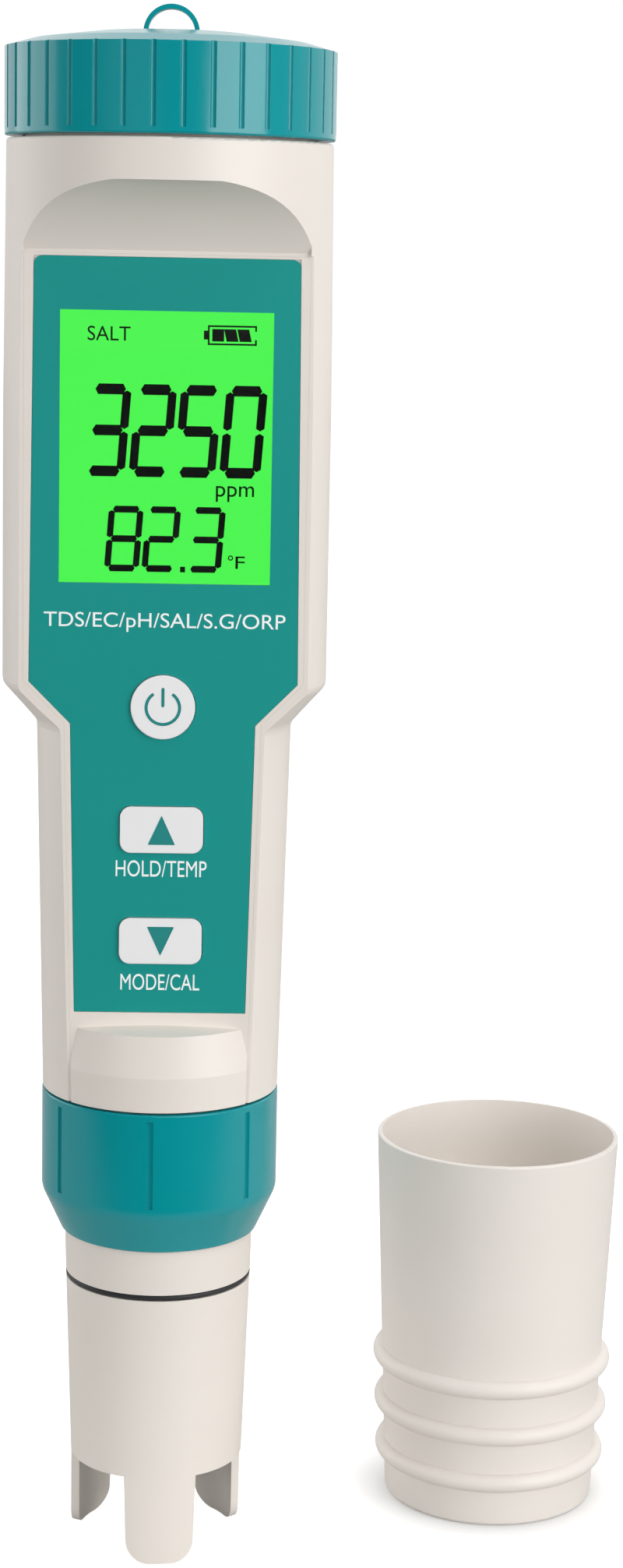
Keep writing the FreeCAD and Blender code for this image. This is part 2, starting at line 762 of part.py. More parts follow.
def keys():
    """Three keys that press in, each with a retaining lip, a stem, a plunger and a switch on the board."""
    lip_front = "face - cover_thick - body_gap"
    stem_end = "board_front + switch_tall + key_travel + body_gap"
    for name in ("power", "up", "down"):
        height = name + "_at"
        if name == "power":
            top = cylinder("power_top", "power_rad", f"face + key_proud - ({lip_front})",
                           ("0", "-face - key_proud", height), "+Y")
            lip = cylinder("power_lip", "power_rad + key_lip", "key_lip_thick",
                           ("0", f"-({lip_front})", height), "+Y")
        else:
            top = new_body(name + "_top")
            outline = sketch_on(top, "XZ_Plane", "face + key_proud")
            rounded(outline, "-key_half", "key_half", f"{height} - key_tall / 2",
                    f"{height} + key_tall / 2", "key_round")
            extrude(top, "Pad", outline, f"face + key_proud - ({lip_front})", backwards=True)
            lip = block(name + "_lip", ("-key_half - key_lip", "key_half + key_lip"),
                        (f"-({lip_front})", f"-({lip_front}) + key_lip_thick"),
                        (f"{height} - key_tall / 2 - key_lip", f"{height} + key_tall / 2 + key_lip"))
        stem = cylinder(name + "_stem", "stem_rad", f"({lip_front}) - key_lip_thick - ({stem_end})",
                        ("0", f"-({lip_front}) + key_lip_thick", height), "+Y")
        keep(name + "_key", fuse(name + "_key_body", top, lip, stem))
        keep(name + "_plunger", cylinder(name + "_plunger", "plunger_rad",
                                         f"({stem_end}) - board_front - key_travel - body_gap",
                                         ("0", f"-({stem_end})", height), "+Y"))
        case = block(name + "_case", ("-switch_side / 2", "switch_side / 2"),
                     ("-board_front - switch_tall", "-board_front"),
                     (f"{height} - switch_side / 2", f"{height} + switch_side / 2"))
        bore = cylinder(name + "_bore", "plunger_rad + body_gap", "switch_tall + 2",
                        ("0", "-board_front - switch_tall - 1", height), "+Y")
        keep(name + "_switch", cut(name + "_switch_body", case, bore))


# ---- electronics ----------------------------------------------------------------------------------------

def chip(name, x, z, wide, tall, thick):
    """Component on the back of the board."""
    back = "-board_front + board_thick"
    return keep(name, block(name, (f"{x} - {wide} / 2", f"{x} + {wide} / 2"), (back, f"{back} + {thick}"),
                            (f"{z} - {tall} / 2", f"{z} + {tall} / 2")))


def electronics():
    """Main board, its components and its screws."""
    board = plate("board_sheet", mirrored([
        ("board_grip_half", "board_low"), ("board_grip_half", "board_shoulder"),
        ("board_head_half", "board_shoulder"), ("board_head_half", "board_top")]), "board_front", "board_thick")
    holes = [cylinder(f"board_hole_{number}", "screw_rad + 0.2", "board_thick + 2", (x, "-board_front - 1", z),
                      "+Y") for number, (x, z) in enumerate(screw_places())]
    keep("main_board", cut("main_board_body", board, *holes))
    screws = []
    for number, (x, z) in enumerate(screw_places()):
        back = "-board_front + board_thick"
        shank = cylinder(f"screw_shank_{number}", "screw_rad", "screw_long + board_thick - body_gap",
                         (x, back, z), "-Y")
        head = cylinder(f"screw_head_{number}", "screw_head_rad", "screw_head", (x, back, z), "+Y")
        screws.append(fuse(f"screw_{number}", shank, head))
    keep("board_screws", group("board_screws", screws))
    chip("main_controller", "0", "window_low + 10", "10", "10", "1.4")
    chip("measuring_amplifier", "0", "up_at + 3", "6", "5", "1.4")
    chip("memory_chip", "-8", "window_low - 3", "5", "4", "1.2")
    chip("display_driver", "7", "window_low - 3", "7", "5", "1.2")
    chip("timing_crystal", "8", "window_low + 10", "3.2", "1.6", "0.8")
    chip("wire_terminal", "0", "board_top - 3.8", "12", "3", "2.2")
    chip("probe_terminal", "0", "board_low + 4", "12", "3.4", "2.6")
    keep("reservoir_capacitor", cylinder("reservoir_capacitor", "2.5", "5.2",
                                         ("-9", "-board_front + board_thick", "window_low + 23"), "+Y"))


# ---- battery compartment --------------------------------------------------------------------------------

def cell_bottom(level):
    """Height of a cell's lower face; level counts from the bottom of the stack."""
    return f"chamber_floor + holder_floor + contact_tall + {level} * cell_tall"


def batteries():
    """Holder with two wells, contacts, and two stacks of two button cells."""
    holder_top = cell_bottom(2)
    barrel = cylinder("holder_barrel", "neck_bore - holder_gap", f"({holder_top}) - 0.5 - chamber_floor",
                      ("0", "0", "chamber_floor"))
    wells = [cylinder(f"holder_well_{number}", "cell_rad + well_gap", "3 * cell_tall",
                      (f"{side} * cell_apart / 2", "0", "chamber_floor + holder_floor"))
             for number, side in enumerate((-1, 1))]
    ways = [cylinder(f"holder_way_{number}", "0.9", "3 * cell_tall", (f"{side} * 4", "9", "chamber_floor - 1"))
            for number, side in enumerate((-1, 1))]
    keep("battery_holder", cut("battery_holder_body", barrel, *wells, *ways))
    for number, (name, side) in enumerate((("negative_contact", -1), ("positive_contact", 1))):
        floor = "chamber_floor + holder_floor"
        base = cylinder(name + "_base", "cell_rad - 1", "0.3", (f"{side} * cell_apart / 2", "0", floor))
        cone = doc.addObject("Part::Cone", name + "_cone")
        bind(cone, "Radius1", "cell_rad - 2")
        bind(cone, "Radius2", "cell_rad - 3.5")
        bind(cone, "Height", "contact_tall - 0.3")
        place(cone, (f"{side} * cell_apart / 2", "0", f"{floor} + 0.3"))
        keep(name, fuse(name + "_body", base, cone))
    for number in range(4):
        side = 1 if number % 2 else -1
        can = cylinder(f"cell_can_{number}", "cell_rad", "cell_tall - 0.4",
                       (f"{side} * cell_apart / 2", "0", cell_bottom(number // 2)))
        button = cylinder(f"cell_button_{number}", "cell_rad - 1.4", "0.4",
                          (f"{side} * cell_apart / 2", "0", f"{cell_bottom(number // 2)} + cell_tall - 0.4"))
        keep(f"battery_cell_{number + 1}", fuse(f"cell_{number}", can, button))
    bend = "board_top - 3.8"
    for name, side in (("battery_lead_red", 1), ("battery_lead_black", -1)):
        drop = cylinder(name + "_drop", "lead_rad", f"chamber_floor - ({bend})", (f"{side} * 4", "9", bend))
        corner = sphere(name + "_corner", "lead_rad", (f"{side} * 4", "9", bend))
        run = cylinder(name + "_run", "lead_rad", "9 + board_front - board_thick - 2.2",
                       (f"{side} * 4", "9", bend), "-Y")
        keep(name, fuse(name + "_body", drop, corner, run))


def battery_cap():
    """Fluted screw cap over the battery neck, with its gasket, bridge contact and lanyard loop."""
    cap = lathe("battery_cap", [
        ("cap_bore", "cap_foot"), ("cap_rad", "cap_foot"), ("cap_rad", "cap_side_top"),
        ("cap_bevel_rad", "cap_bevel_top"), ("cap_flat_rad", "cap_top"), ("0", "cap_top"),
        ("0", "cap_roof"), ("cap_bore", "cap_roof")],
        [("cap_round", [("cap_bevel_rad", "cap_bevel_top")]),
         ("cap_foot_round", [("cap_rad", "cap_foot")])])
    flute = sketch_on(cap, "XY_Plane", "cap_top")
    spot = "(cap_rad + flute_rad - flute_depth)"
    circle(flute, f"{spot} * sin(180 / flute_count)", f"-{spot} * cos(180 / flute_count)", "flute_rad")
    groove = extrude(cap, "Pocket", flute, "cap_top - cap_foot - rim_tall")
    around(cap, groove, "flute_count")
    keep("battery_cap", cap)
    gasket_low = "neck_top + body_gap"
    keep("cap_gasket", tube("cap_gasket", "neck_bore + holder_gap", "neck_rad", gasket_low,
                            f"{gasket_low} + gasket_thick"))
    keep("bridge_contact", cylinder("bridge_contact", "bridge_rad", "bridge_thick",
                                    ("0", "0", "cap_roof - body_gap - bridge_thick")))
    inside = "loop_wide / 2 - loop_strap"
    centre = "cap_top + loop_rise - loop_wide / 2"
    hoop = cylinder("loop_outer", "loop_wide / 2", "loop_deep", ("0", "loop_deep / 2", centre), "-Y")
    eye = cylinder("loop_inner", inside, "loop_deep + 2", ("0", "loop_deep / 2 + 1", centre), "-Y")
    below = block("loop_below", ("-loop_wide", "loop_wide"), ("-loop_deep", "loop_deep"),
                  ("cap_top - loop_wide", "cap_top"))
    keep("lanyard_loop", cut("lanyard_loop_body", hoop, eye, below))


# ---- collar nut and probe -------------------------------------------------------------------------------

def sensor_socket():
    """Socket in the tail of the housing with one way for each pin, and its leads to the board."""
    stem = "tail_bore - 0.2"
    base = lathe("socket_base", [("0", "socket_low"), (stem, "socket_low"), (stem, "socket_seat"),
                                 ("grip_low_rad - wall - 0.5", "socket_seat"),
                                 ("grip_low_rad - wall - 0.5", "socket_seat + socket_flange"),
                                 ("0", "socket_seat + socket_flange")])
    ways = sketch_on(base, "XY_Plane", "socket_low")
    circle(ways, "pin_circle", "0", "pin_rad + body_gap")
    way = extrude(base, "Pocket", ways, "pin_top + 1 - socket_low", backwards=True)
    around(base, way, "pin_count")
    keep("sensor_socket", base)
    leads = [cylinder(f"socket_lead_{number}", "0.4", "7",
                      (f"{-5 + 2 * number}", "1.2", "socket_seat + socket_flange"))
             for number in range(6)]
    keep("socket_leads", group("socket_leads", leads))


def collar_nut():
    """Ribbed nut that holds the probe up against the tail."""
    thread = "tail_rad + body_gap"
    collar = lathe("collar_nut", [
        ("collar_bore", "collar_low"), ("collar_low_rad", "collar_low"),
        ("collar_rad", "collar_bend"), ("collar_rad", "collar_top"), (thread, "collar_top"),
        (thread, "collar_lip_top"), ("collar_bore", "collar_lip_top")],
        [("collar_round * 2", [("collar_rad", "collar_bend")]),
         ("collar_round / 7", [("collar_low_rad", "collar_low"), ("collar_rad", "collar_top")])])
    rib = sketch_on(collar, "XY_Plane", "rib_top")
    spot = "(collar_rad + rib_rad - rib_rad / 1.2)"
    circle(rib, f"-{spot} * sin(rib_turn)", f"-{spot} * cos(rib_turn)", "rib_rad")
    groove = extrude(collar, "Pocket", rib, "rib_top - rib_low")
    around(collar, groove, "rib_count")
    keep("collar_nut", collar)


def probe_radius(height):
    """Barrel radius at a height on its tapered part."""
    return (f"(probe_low_rad + (probe_rad - probe_low_rad) * (({height}) - skirt_low)"
            " / (probe_straight - skirt_low))")


def probe_body():
    """White barrel with a flange, a seal groove and three guard prongs round the sensors."""
    half = "(seal_cord + 0.03)"
    depth = f"({probe_radius('seal_at')} - 2 * seal_cord - 0.05)"
    barrel = lathe("probe_body", [
        ("probe_bore", "0"), ("probe_low_rad", "0"), ("probe_low_rad", "skirt_low"),
        (probe_radius(f"seal_at - {half}"), f"seal_at - {half}"), (depth, f"seal_at - {half}"),
        (depth, f"seal_at + {half}"), (probe_radius(f"seal_at + {half}"), f"seal_at + {half}"),
        ("probe_rad", "probe_straight"), ("probe_rad", "flange_low"), ("flange_rad", "flange_low"),
        ("flange_rad", "flange_top"), ("probe_bore", "flange_top")])
    gaps = sketch_on(barrel, "XZ_Plane", "probe_rad + 2")
    polygon(gaps, mirrored([("prong_low_half", "0"), ("prong_top_half", "skirt_low"),
                            ("probe_low_rad + 1", "skirt_low"), ("probe_low_rad + 1", "-1")])[0:4] + [
        ("-(probe_low_rad + 1)", "-1"), ("-(probe_low_rad + 1)", "skirt_low"),
        ("-prong_top_half", "skirt_low"), ("-prong_low_half", "0")])
    sector = "probe_rad + 2 - probe_bore * 0.48"
    pocket = extrude(barrel, "Pocket", gaps, sector)
    around(barrel, pocket, "3")
    round_edges(barrel, "prong_round", prong_corner)
    barrel.Placement = FreeCAD.Placement(FreeCAD.Vector(), FreeCAD.Rotation(FreeCAD.Vector(0, 0, 1), 1))
    bind(barrel, "Placement.Rotation.Angle", "prong_turn")
    keep("probe_body", barrel)


def prong_corner(edge):
    """True for the short radial edges at the corners of the prong tips."""
    ends = [vertex.Point for vertex in edge.Vertexes]
    if len(ends) != 2 or max(abs(end.z) for end in ends) > 0.01:
        return False
    return isinstance(edge.Curve, Part.Line)


def probe():
    """Probe parts that slide out together."""
    probe_body()
    ring = f"{probe_radius('seal_at')} + seal_proud - seal_cord"
    keep("probe_seal", torus("probe_seal", ring, "seal_cord", "seal_at"))
    keep("probe_washer", tube("probe_washer", "plug_rad + fit_gap", "flange_rad - fit_gap", "flange_top",
                              "flange_top + washer_thick"))
    plug = lathe("probe_plug", [("0", "plug_low"), ("probe_bore - 0.05", "plug_low"),
                                ("probe_bore - 0.05", "flange_top"), ("plug_rad", "flange_top"),
                                ("plug_rad", "plug_top"), ("0", "plug_top")],
                 [("plug_round", [("plug_rad", "plug_top")])])
    keep("probe_plug", plug)
    pin_solids = []
    for number in range(int(value("pin_count"))):
        angle = f"{number} * 360 / pin_count"
        pin_solids.append(cylinder(f"contact_pin_{number}", "pin_rad", "pin_top - plug_top",
                                   (f"pin_circle * cos({angle})", f"pin_circle * sin({angle})", "plug_top")))
    keep("contact_pins", group("contact_pins", pin_solids))


SENSORS = (
    # name, x, y, radius, how far it stands below the plate, length
    ("ph_stem", "0.9", "-1.6", "2.4", "6.1", "29.6"),
    ("reference_junction", "-5.6", "1.6", "1.4", "3", "20.5"),
    ("orp_electrode", "5.4", "2.4", "0.9", "4", "17.5"),
    ("temperature_sensor", "0.4", "6.3", "1.2", "4.5", "16"),
)


def sensors():
    """Sensor plate across the barrel and what stands in it."""
    disc = cylinder("plate_disc", "probe_bore - 0.05", "plate_thick", ("0", "0", "plate_low"))
    holes = []
    for name, x, y, radius, drop, long in SENSORS:
        holes.append(cylinder(name + "_hole", f"{radius} + 0.05", "plate_thick + 2", (x, y, "plate_low - 1")))
        keep(name, cylinder(name, radius, long, (x, y, f"plate_low - {drop}")))
    pins = []
    for number, side in enumerate(("-3.1", "3.9")):
        holes.append(cylinder(f"carbon_hole_{number}", "0.75", "plate_thick + 2",
                              (side, "4.4", "plate_low - 1")))
        pins.append(cylinder(f"carbon_pin_{number}", "0.7", "12", (side, "4.4", "plate_low - 4")))
    keep("conductivity_pins", group("conductivity_pins", pins))
    keep("sensor_plate", cut("sensor_plate_body", disc, *holes))
    ball = sphere("bulb_ball", "2.8", ("0.9", "-1.6", "plate_low - 7.3"))
    above = block("bulb_above", ("-10", "10"), ("-10", "10"), ("plate_low - 6.1", "plate_low + 10"))
    keep("ph_bulb", cut("ph_bulb_body", ball, above))
    leads = [cylinder(f"probe_lead_{number}", "0.35", "5", (f"{-2 + number}", "0", "plug_low - 5"))
             for number in range(5)]
    keep("probe_leads", group("probe_leads", leads))


# ---- storage cap ----------------------------------------------------------------------------------------

def storage_cap():
    """Tapered cap that closes over the probe, with three half-round grip bands and a sponge inside."""
    mouth = "store_rad - store_mouth_wall"
    seal = f"{probe_radius('seal_at')} + seal_proud + store_seal_gap"
    step = "store_tall - store_mouth_deep"
    narrow = f"{step} - store_seal_long"
    cap = lathe("storage_cap", [
        ("0", "0"), ("store_foot_rad", "0"), ("store_rad", "store_tall"), (mouth, "store_tall"),
        (mouth, step), (seal, step), (seal, narrow), ("probe_low_rad + store_clear", "store_floor"),
        ("0", "store_floor")], [("store_round", [("store_foot_rad", "0")]),
                                ("store_mouth_wall / 3", [("store_rad", "store_tall")])])
    plane = next(item for item in cap.Origin.OriginFeatures if item.Role == "XY_Plane")
    for number in range(int(value("band_count"))):
        band = f"(band_first + {number} * band_pitch)"
        ring = cap.newObject("PartDesign::AdditiveTorus", f"storage_cap_band_{number}")
        ring.AttachmentSupport = [(plane, "")]
        ring.MapMode = "FlatFace"
        bind(ring, "AttachmentOffset.Base.z", band)
        bind(ring, "Radius1", f"store_foot_rad + store_taper * {band} / store_tall")
        bind(ring, "Radius2", "band_cord")
    place(cap, ("store_x", "store_y", "0"))
    keep("storage_cap", cap)
    keep("storage_sponge", cylinder("storage_sponge", "sponge_rad", "sponge_tall",
                                    ("store_x", "store_y", "store_floor")))


body_shell()
front_cover()
panel_label()
display()
keys()
electronics()
batteries()
battery_cap()
sensor_socket()
collar_nut()
probe()
sensors()
storage_cap()
doc.recompute()

for thing in doc.Objects:
    if "Invalid" in thing.State or "Error" in thing.State:
        raise RuntimeError(f"{thing.Name} failed: {thing.State}")
for name, thing in nodes.items():
    if thing.Shape.isNull() or not thing.Shape.isValid():
        raise RuntimeError(f"{name} has no valid shape")
os.makedirs("parts", exist_ok=True)
for name, thing in nodes.items():
    thing.Shape.exportStep(f"parts/{name}.step")
    print(f"{name}: {thing.Shape.Volume:.1f} mm3 in {len(thing.Shape.Solids)} solids")
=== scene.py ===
import json
import logging
import math
from dataclasses import dataclass, field
from enum import Enum

import bmesh
import bpy
from mathutils import Matrix, Vector, noise


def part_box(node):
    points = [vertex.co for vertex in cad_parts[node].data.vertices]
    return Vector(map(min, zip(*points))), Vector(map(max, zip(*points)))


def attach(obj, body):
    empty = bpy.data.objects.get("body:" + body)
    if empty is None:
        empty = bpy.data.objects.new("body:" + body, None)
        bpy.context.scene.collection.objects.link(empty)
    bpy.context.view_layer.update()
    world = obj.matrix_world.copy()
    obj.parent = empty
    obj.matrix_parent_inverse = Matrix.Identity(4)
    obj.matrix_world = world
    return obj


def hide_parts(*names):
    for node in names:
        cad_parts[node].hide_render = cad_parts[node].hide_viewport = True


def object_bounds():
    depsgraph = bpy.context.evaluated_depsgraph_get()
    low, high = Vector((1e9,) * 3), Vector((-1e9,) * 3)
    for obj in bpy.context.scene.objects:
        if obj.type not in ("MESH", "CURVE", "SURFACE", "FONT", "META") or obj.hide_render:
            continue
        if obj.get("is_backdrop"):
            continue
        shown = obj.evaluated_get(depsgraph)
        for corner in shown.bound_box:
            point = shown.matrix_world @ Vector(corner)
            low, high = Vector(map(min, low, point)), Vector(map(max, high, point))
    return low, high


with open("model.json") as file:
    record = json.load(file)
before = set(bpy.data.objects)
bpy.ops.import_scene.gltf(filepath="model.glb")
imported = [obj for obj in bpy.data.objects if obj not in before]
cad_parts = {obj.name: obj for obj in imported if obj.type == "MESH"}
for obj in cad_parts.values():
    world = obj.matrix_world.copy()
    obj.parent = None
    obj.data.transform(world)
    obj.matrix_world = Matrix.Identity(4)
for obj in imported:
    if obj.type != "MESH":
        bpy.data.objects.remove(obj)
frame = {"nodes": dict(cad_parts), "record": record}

MM = 0.001
log = logging.getLogger("water_tester")


# ---- shared helpers -------------------------------------------------------------------------------------

def linear(hex_code: str) -> tuple[float, float, float, float]:
    """Turn an sRGB hex colour into linear values.

    Args:
        hex_code: Colour as six hex digits.

    Returns:
        Red, green, blue and alpha, linear.
    """
    parts = [int(hex_code[place:place + 2], 16) / 255 for place in (0, 2, 4)]
    bent = [part / 12.92 if part <= 0.04045 else ((part + 0.055) / 1.055) ** 2.4 for part in parts]
    return bent[0], bent[1], bent[2], 1.0


def add(tree: bpy.types.NodeTree, kind: str, settings: dict | None = None,
        links: dict | None = None) -> bpy.types.Node:
    """Add one node with its settings and links.

    Args:
        tree: Node tree that gets the node.
        kind: Blender's name for the node type.
        settings: Values for the node's own properties or its sockets, by name or socket number.
        links: Output sockets of other nodes that feed this node's sockets.

    Returns:
        The new node.
    """
    node = tree.nodes.new(kind)
    for key, setting in (settings or {}).items():
        if isinstance(key, str) and hasattr(node, key):
            setattr(node, key, setting)
        else:
            node.inputs[key].default_value = setting
    for key, socket in (links or {}).items():
        tree.links.new(socket, node.inputs[key])
    return node


def per_mm(size_mm: float) -> float:
    """Noise scale whose features are size_mm across on coordinates in metres."""
    return 1 / (size_mm * MM)


# ---- finishes -------------------------------------------------------------------------------------------

@dataclass(frozen=True)
class Finish:
    """A real material with a real way of making; subclasses wire its shader."""

    name: str
    slot: str

    def material(self) -> bpy.types.Material:
        """Give the Blender material, made the first time it is asked for.

        Returns:
            The material.
        """
        made = bpy.data.materials.get(self.name)
        if made is None:
            made = bpy.data.materials.new(self.name)
            made.use_nodes = True
            made.node_tree.nodes.clear()
            shader = self.shade(made.node_tree)
            add(made.node_tree, "ShaderNodeOutputMaterial", {}, {"Surface": shader})
        return made

    def shade(self, tree: bpy.types.NodeTree) -> bpy.types.NodeSocket:
        """Wire the finish; returns the shader socket."""
        raise NotImplementedError


@dataclass(frozen=True)
class Moulded(Finish):
    """Injection-moulded thermoplastic: even tone with faint flow clouds, fine texture, softened edges."""

    tone: str
    cloud: str
    roughness: float
    grain_mm: float = 0.35
    grain_depth: float = 0.004
    cloud_mm: float = 14.0
    edge_mm: float = 0.12
    specular: float = 0.5

    def shade(self, tree: bpy.types.NodeTree) -> bpy.types.NodeSocket:
        """Wire the moulded surface.

        Args:
            tree: Node tree of the material.

        Returns:
            The shader socket.
        """
        where = add(tree, "ShaderNodeTexCoord").outputs["Object"]
        flow = add(tree, "ShaderNodeTexNoise", {"Scale": per_mm(self.cloud_mm), "Detail": 3.0},
                   {"Vector": where}).outputs[0]
        tint = add(tree, "ShaderNodeMix", {"data_type": "RGBA", 6: linear(self.tone), 7: linear(self.cloud)},
                   {0: flow}).outputs[2]
        grain = add(tree, "ShaderNodeTexNoise", {"Scale": per_mm(self.grain_mm), "Detail": 2.0},
                    {"Vector": where}).outputs[0]
        polish = add(tree, "ShaderNodeMapRange",
                     {"To Min": self.roughness - 0.04, "To Max": self.roughness + 0.04},
                     {"Value": grain}).outputs[0]
        edges = add(tree, "ShaderNodeBevel", {"samples": 4, "Radius": self.edge_mm * MM}).outputs[0]
        relief = add(tree, "ShaderNodeBump", {"Strength": 0.35, "Distance": self.grain_depth * MM},
                     {"Height": grain, "Normal": edges}).outputs[0]
        shader = add(tree, "ShaderNodeBsdfPrincipled",
                     {"IOR": 1.53, "Specular IOR Level": self.specular},
                     {"Base Color": tint, "Roughness": polish, "Normal": relief})
        return shader.outputs[0]


@dataclass(frozen=True)
class PrintedFilm(Finish):
    """Polycarbonate overlay printed on its back: flat colour under a velvet face with a very fine tooth."""

    tone: str
    shade_tone: str
    roughness: float = 0.42
    tooth_mm: float = 0.16
    ink_mm: float = 22.0

    def shade(self, tree: bpy.types.NodeTree) -> bpy.types.NodeSocket:
        """Wire the film.

        Args:
            tree: Node tree of the material.

        Returns:
            The shader socket.
        """
        where = add(tree, "ShaderNodeTexCoord").outputs["Object"]
        ink = add(tree, "ShaderNodeTexNoise", {"Scale": per_mm(self.ink_mm), "Detail": 2.0},
                  {"Vector": where}).outputs[0]
        tint = add(tree, "ShaderNodeMix",
                   {"data_type": "RGBA", 6: linear(self.tone), 7: linear(self.shade_tone)},
                   {0: ink}).outputs[2]
        tooth = add(tree, "ShaderNodeTexVoronoi", {"Scale": per_mm(self.tooth_mm)},
                    {"Vector": where}).outputs[0]
        relief = add(tree, "ShaderNodeBump", {"Strength": 0.25, "Distance": 0.004 * MM},
                     {"Height": tooth}).outputs[0]
        polish = add(tree, "ShaderNodeMapRange",
                     {"To Min": self.roughness - 0.05, "To Max": self.roughness + 0.05},
                     {"Value": tooth}).outputs[0]
        shader = add(tree, "ShaderNodeBsdfPrincipled", {"IOR": 1.585, "Specular IOR Level": 0.25},
                     {"Base Color": tint, "Normal": relief, "Roughness": polish})
        return shader.outputs[0]


@dataclass(frozen=True)
class LitDisplay(Finish):
    """Back-lit cell or light guide: an even glow with faint, broad patches a little dimmer."""

    glow: str
    dimmer: str
    strength: float = 1.0
    patch_mm: float = 18.0

    def shade(self, tree: bpy.types.NodeTree) -> bpy.types.NodeSocket:
        """Wire the glowing cell.

        Args:
            tree: Node tree of the material.

        Returns:
            The shader socket.
        """
        where = add(tree, "ShaderNodeTexCoord").outputs["Object"]
        uneven = add(tree, "ShaderNodeTexNoise", {"Scale": per_mm(self.patch_mm), "Detail": 1.0},
                     {"Vector": where}).outputs[0]
        shift = add(tree, "ShaderNodeMapRange", {"From Min": 0.3, "From Max": 0.7, "To Max": 0.12},
                    {"Value": uneven}).outputs[0]
        light = add(tree, "ShaderNodeMix",
                    {"data_type": "RGBA", 6: linear(self.glow), 7: linear(self.dimmer)},
                    {0: shift}).outputs[2]
        shader = add(tree, "ShaderNodeBsdfPrincipled",
                     {"Base Color": linear("0A2A0C"), "Roughness": 0.5, "Specular IOR Level": 0.1,
                      "Emission Strength": self.strength}, {"Emission Color": light})
        return shader.outputs[0]


@dataclass(frozen=True)
class Printed(Finish):
    """Screen-printed ink: dense and matt, with the faint mottle of a mesh print; a glow above zero adds
    painted light.
    """

    tone: str
    mottle: str
    roughness: float = 0.55
    glow: float = 0.0
    mesh_mm: float = 0.3

    def shade(self, tree: bpy.types.NodeTree) -> bpy.types.NodeSocket:
        """Wire the ink.

        Args:
            tree: Node tree of the material.

        Returns:
            The shader socket.
        """
        where = add(tree, "ShaderNodeTexCoord").outputs["Object"]
        mesh_print = add(tree, "ShaderNodeTexNoise", {"Scale": per_mm(self.mesh_mm), "Detail": 2.0},
                         {"Vector": where}).outputs[0]
        tint = add(tree, "ShaderNodeMix", {"data_type": "RGBA", 6: linear(self.tone), 7: linear(self.mottle)},
                   {0: mesh_print}).outputs[2]
        links = {"Base Color": tint}
        # painted light: with a glow above zero the ink emits its own colour as if lit
        if self.glow:
            links["Emission Color"] = tint
        shader = add(tree, "ShaderNodeBsdfPrincipled",
                     {"Roughness": self.roughness, "Specular IOR Level": 0.15,
                      "Emission Strength": self.glow}, links)
        return shader.outputs[0]


@dataclass(frozen=True)
class Clear(Finish):
    """Clear moulding or blown glass: sharp reflections, with the faint waviness of the tool or the flame."""

    tone: str
    ior: float
    wave_mm: float = 6.0

    def shade(self, tree: bpy.types.NodeTree) -> bpy.types.NodeSocket:
        """Wire the clear body.

        Args:
            tree: Node tree of the material.

        Returns:
            The shader socket.
        """
        where = add(tree, "ShaderNodeTexCoord").outputs["Object"]
        wave = add(tree, "ShaderNodeTexNoise", {"Scale": per_mm(self.wave_mm), "Detail": 1.0},
                   {"Vector": where}).outputs[0]
        relief = add(tree, "ShaderNodeBump", {"Strength": 0.08, "Distance": 0.01 * MM},
                     {"Height": wave}).outputs[0]
        shader = add(tree, "ShaderNodeBsdfPrincipled",
                     {"Base Color": linear(self.tone), "IOR": self.ior, "Transmission Weight": 1.0,
                      "Roughness": 0.0}, {"Normal": relief})
        return shader.outputs[0]


@dataclass(frozen=True)
class Metal(Finish):
    """Drawn, stamped or plated metal: fine lines along one way, brighter and duller in turn."""

    tone: str
    dull: str
    roughness: float
    line_mm: float = 0.12
    stretch: tuple[float, float, float] = (1.0, 1.0, 0.06)

    def shade(self, tree: bpy.types.NodeTree) -> bpy.types.NodeSocket:
        """Wire the metal.

        Args:
            tree: Node tree of the material.

        Returns:
            The shader socket.
        """
        where = add(tree, "ShaderNodeTexCoord").outputs["Object"]
        along = add(tree, "ShaderNodeMapping", {"Scale": self.stretch}, {"Vector": where}).outputs[0]
        lines = add(tree, "ShaderNodeTexNoise", {"Scale": per_mm(self.line_mm), "Detail": 3.0},
                    {"Vector": along}).outputs[0]
        tint = add(tree, "ShaderNodeMix", {"data_type": "RGBA", 6: linear(self.tone), 7: linear(self.dull)},
                   {0: lines}).outputs[2]
        polish = add(tree, "ShaderNodeMapRange",
                     {"To Min": self.roughness * 0.7, "To Max": self.roughness * 1.4},
                     {"Value": lines}).outputs[0]
        relief = add(tree, "ShaderNodeBump", {"Strength": 0.2, "Distance": 0.003 * MM},
                     {"Height": lines}).outputs[0]
        shader = add(tree, "ShaderNodeBsdfPrincipled", {"Metallic": 1.0},
                     {"Base Color": tint, "Roughness": polish, "Normal": relief})
        return shader.outputs[0]


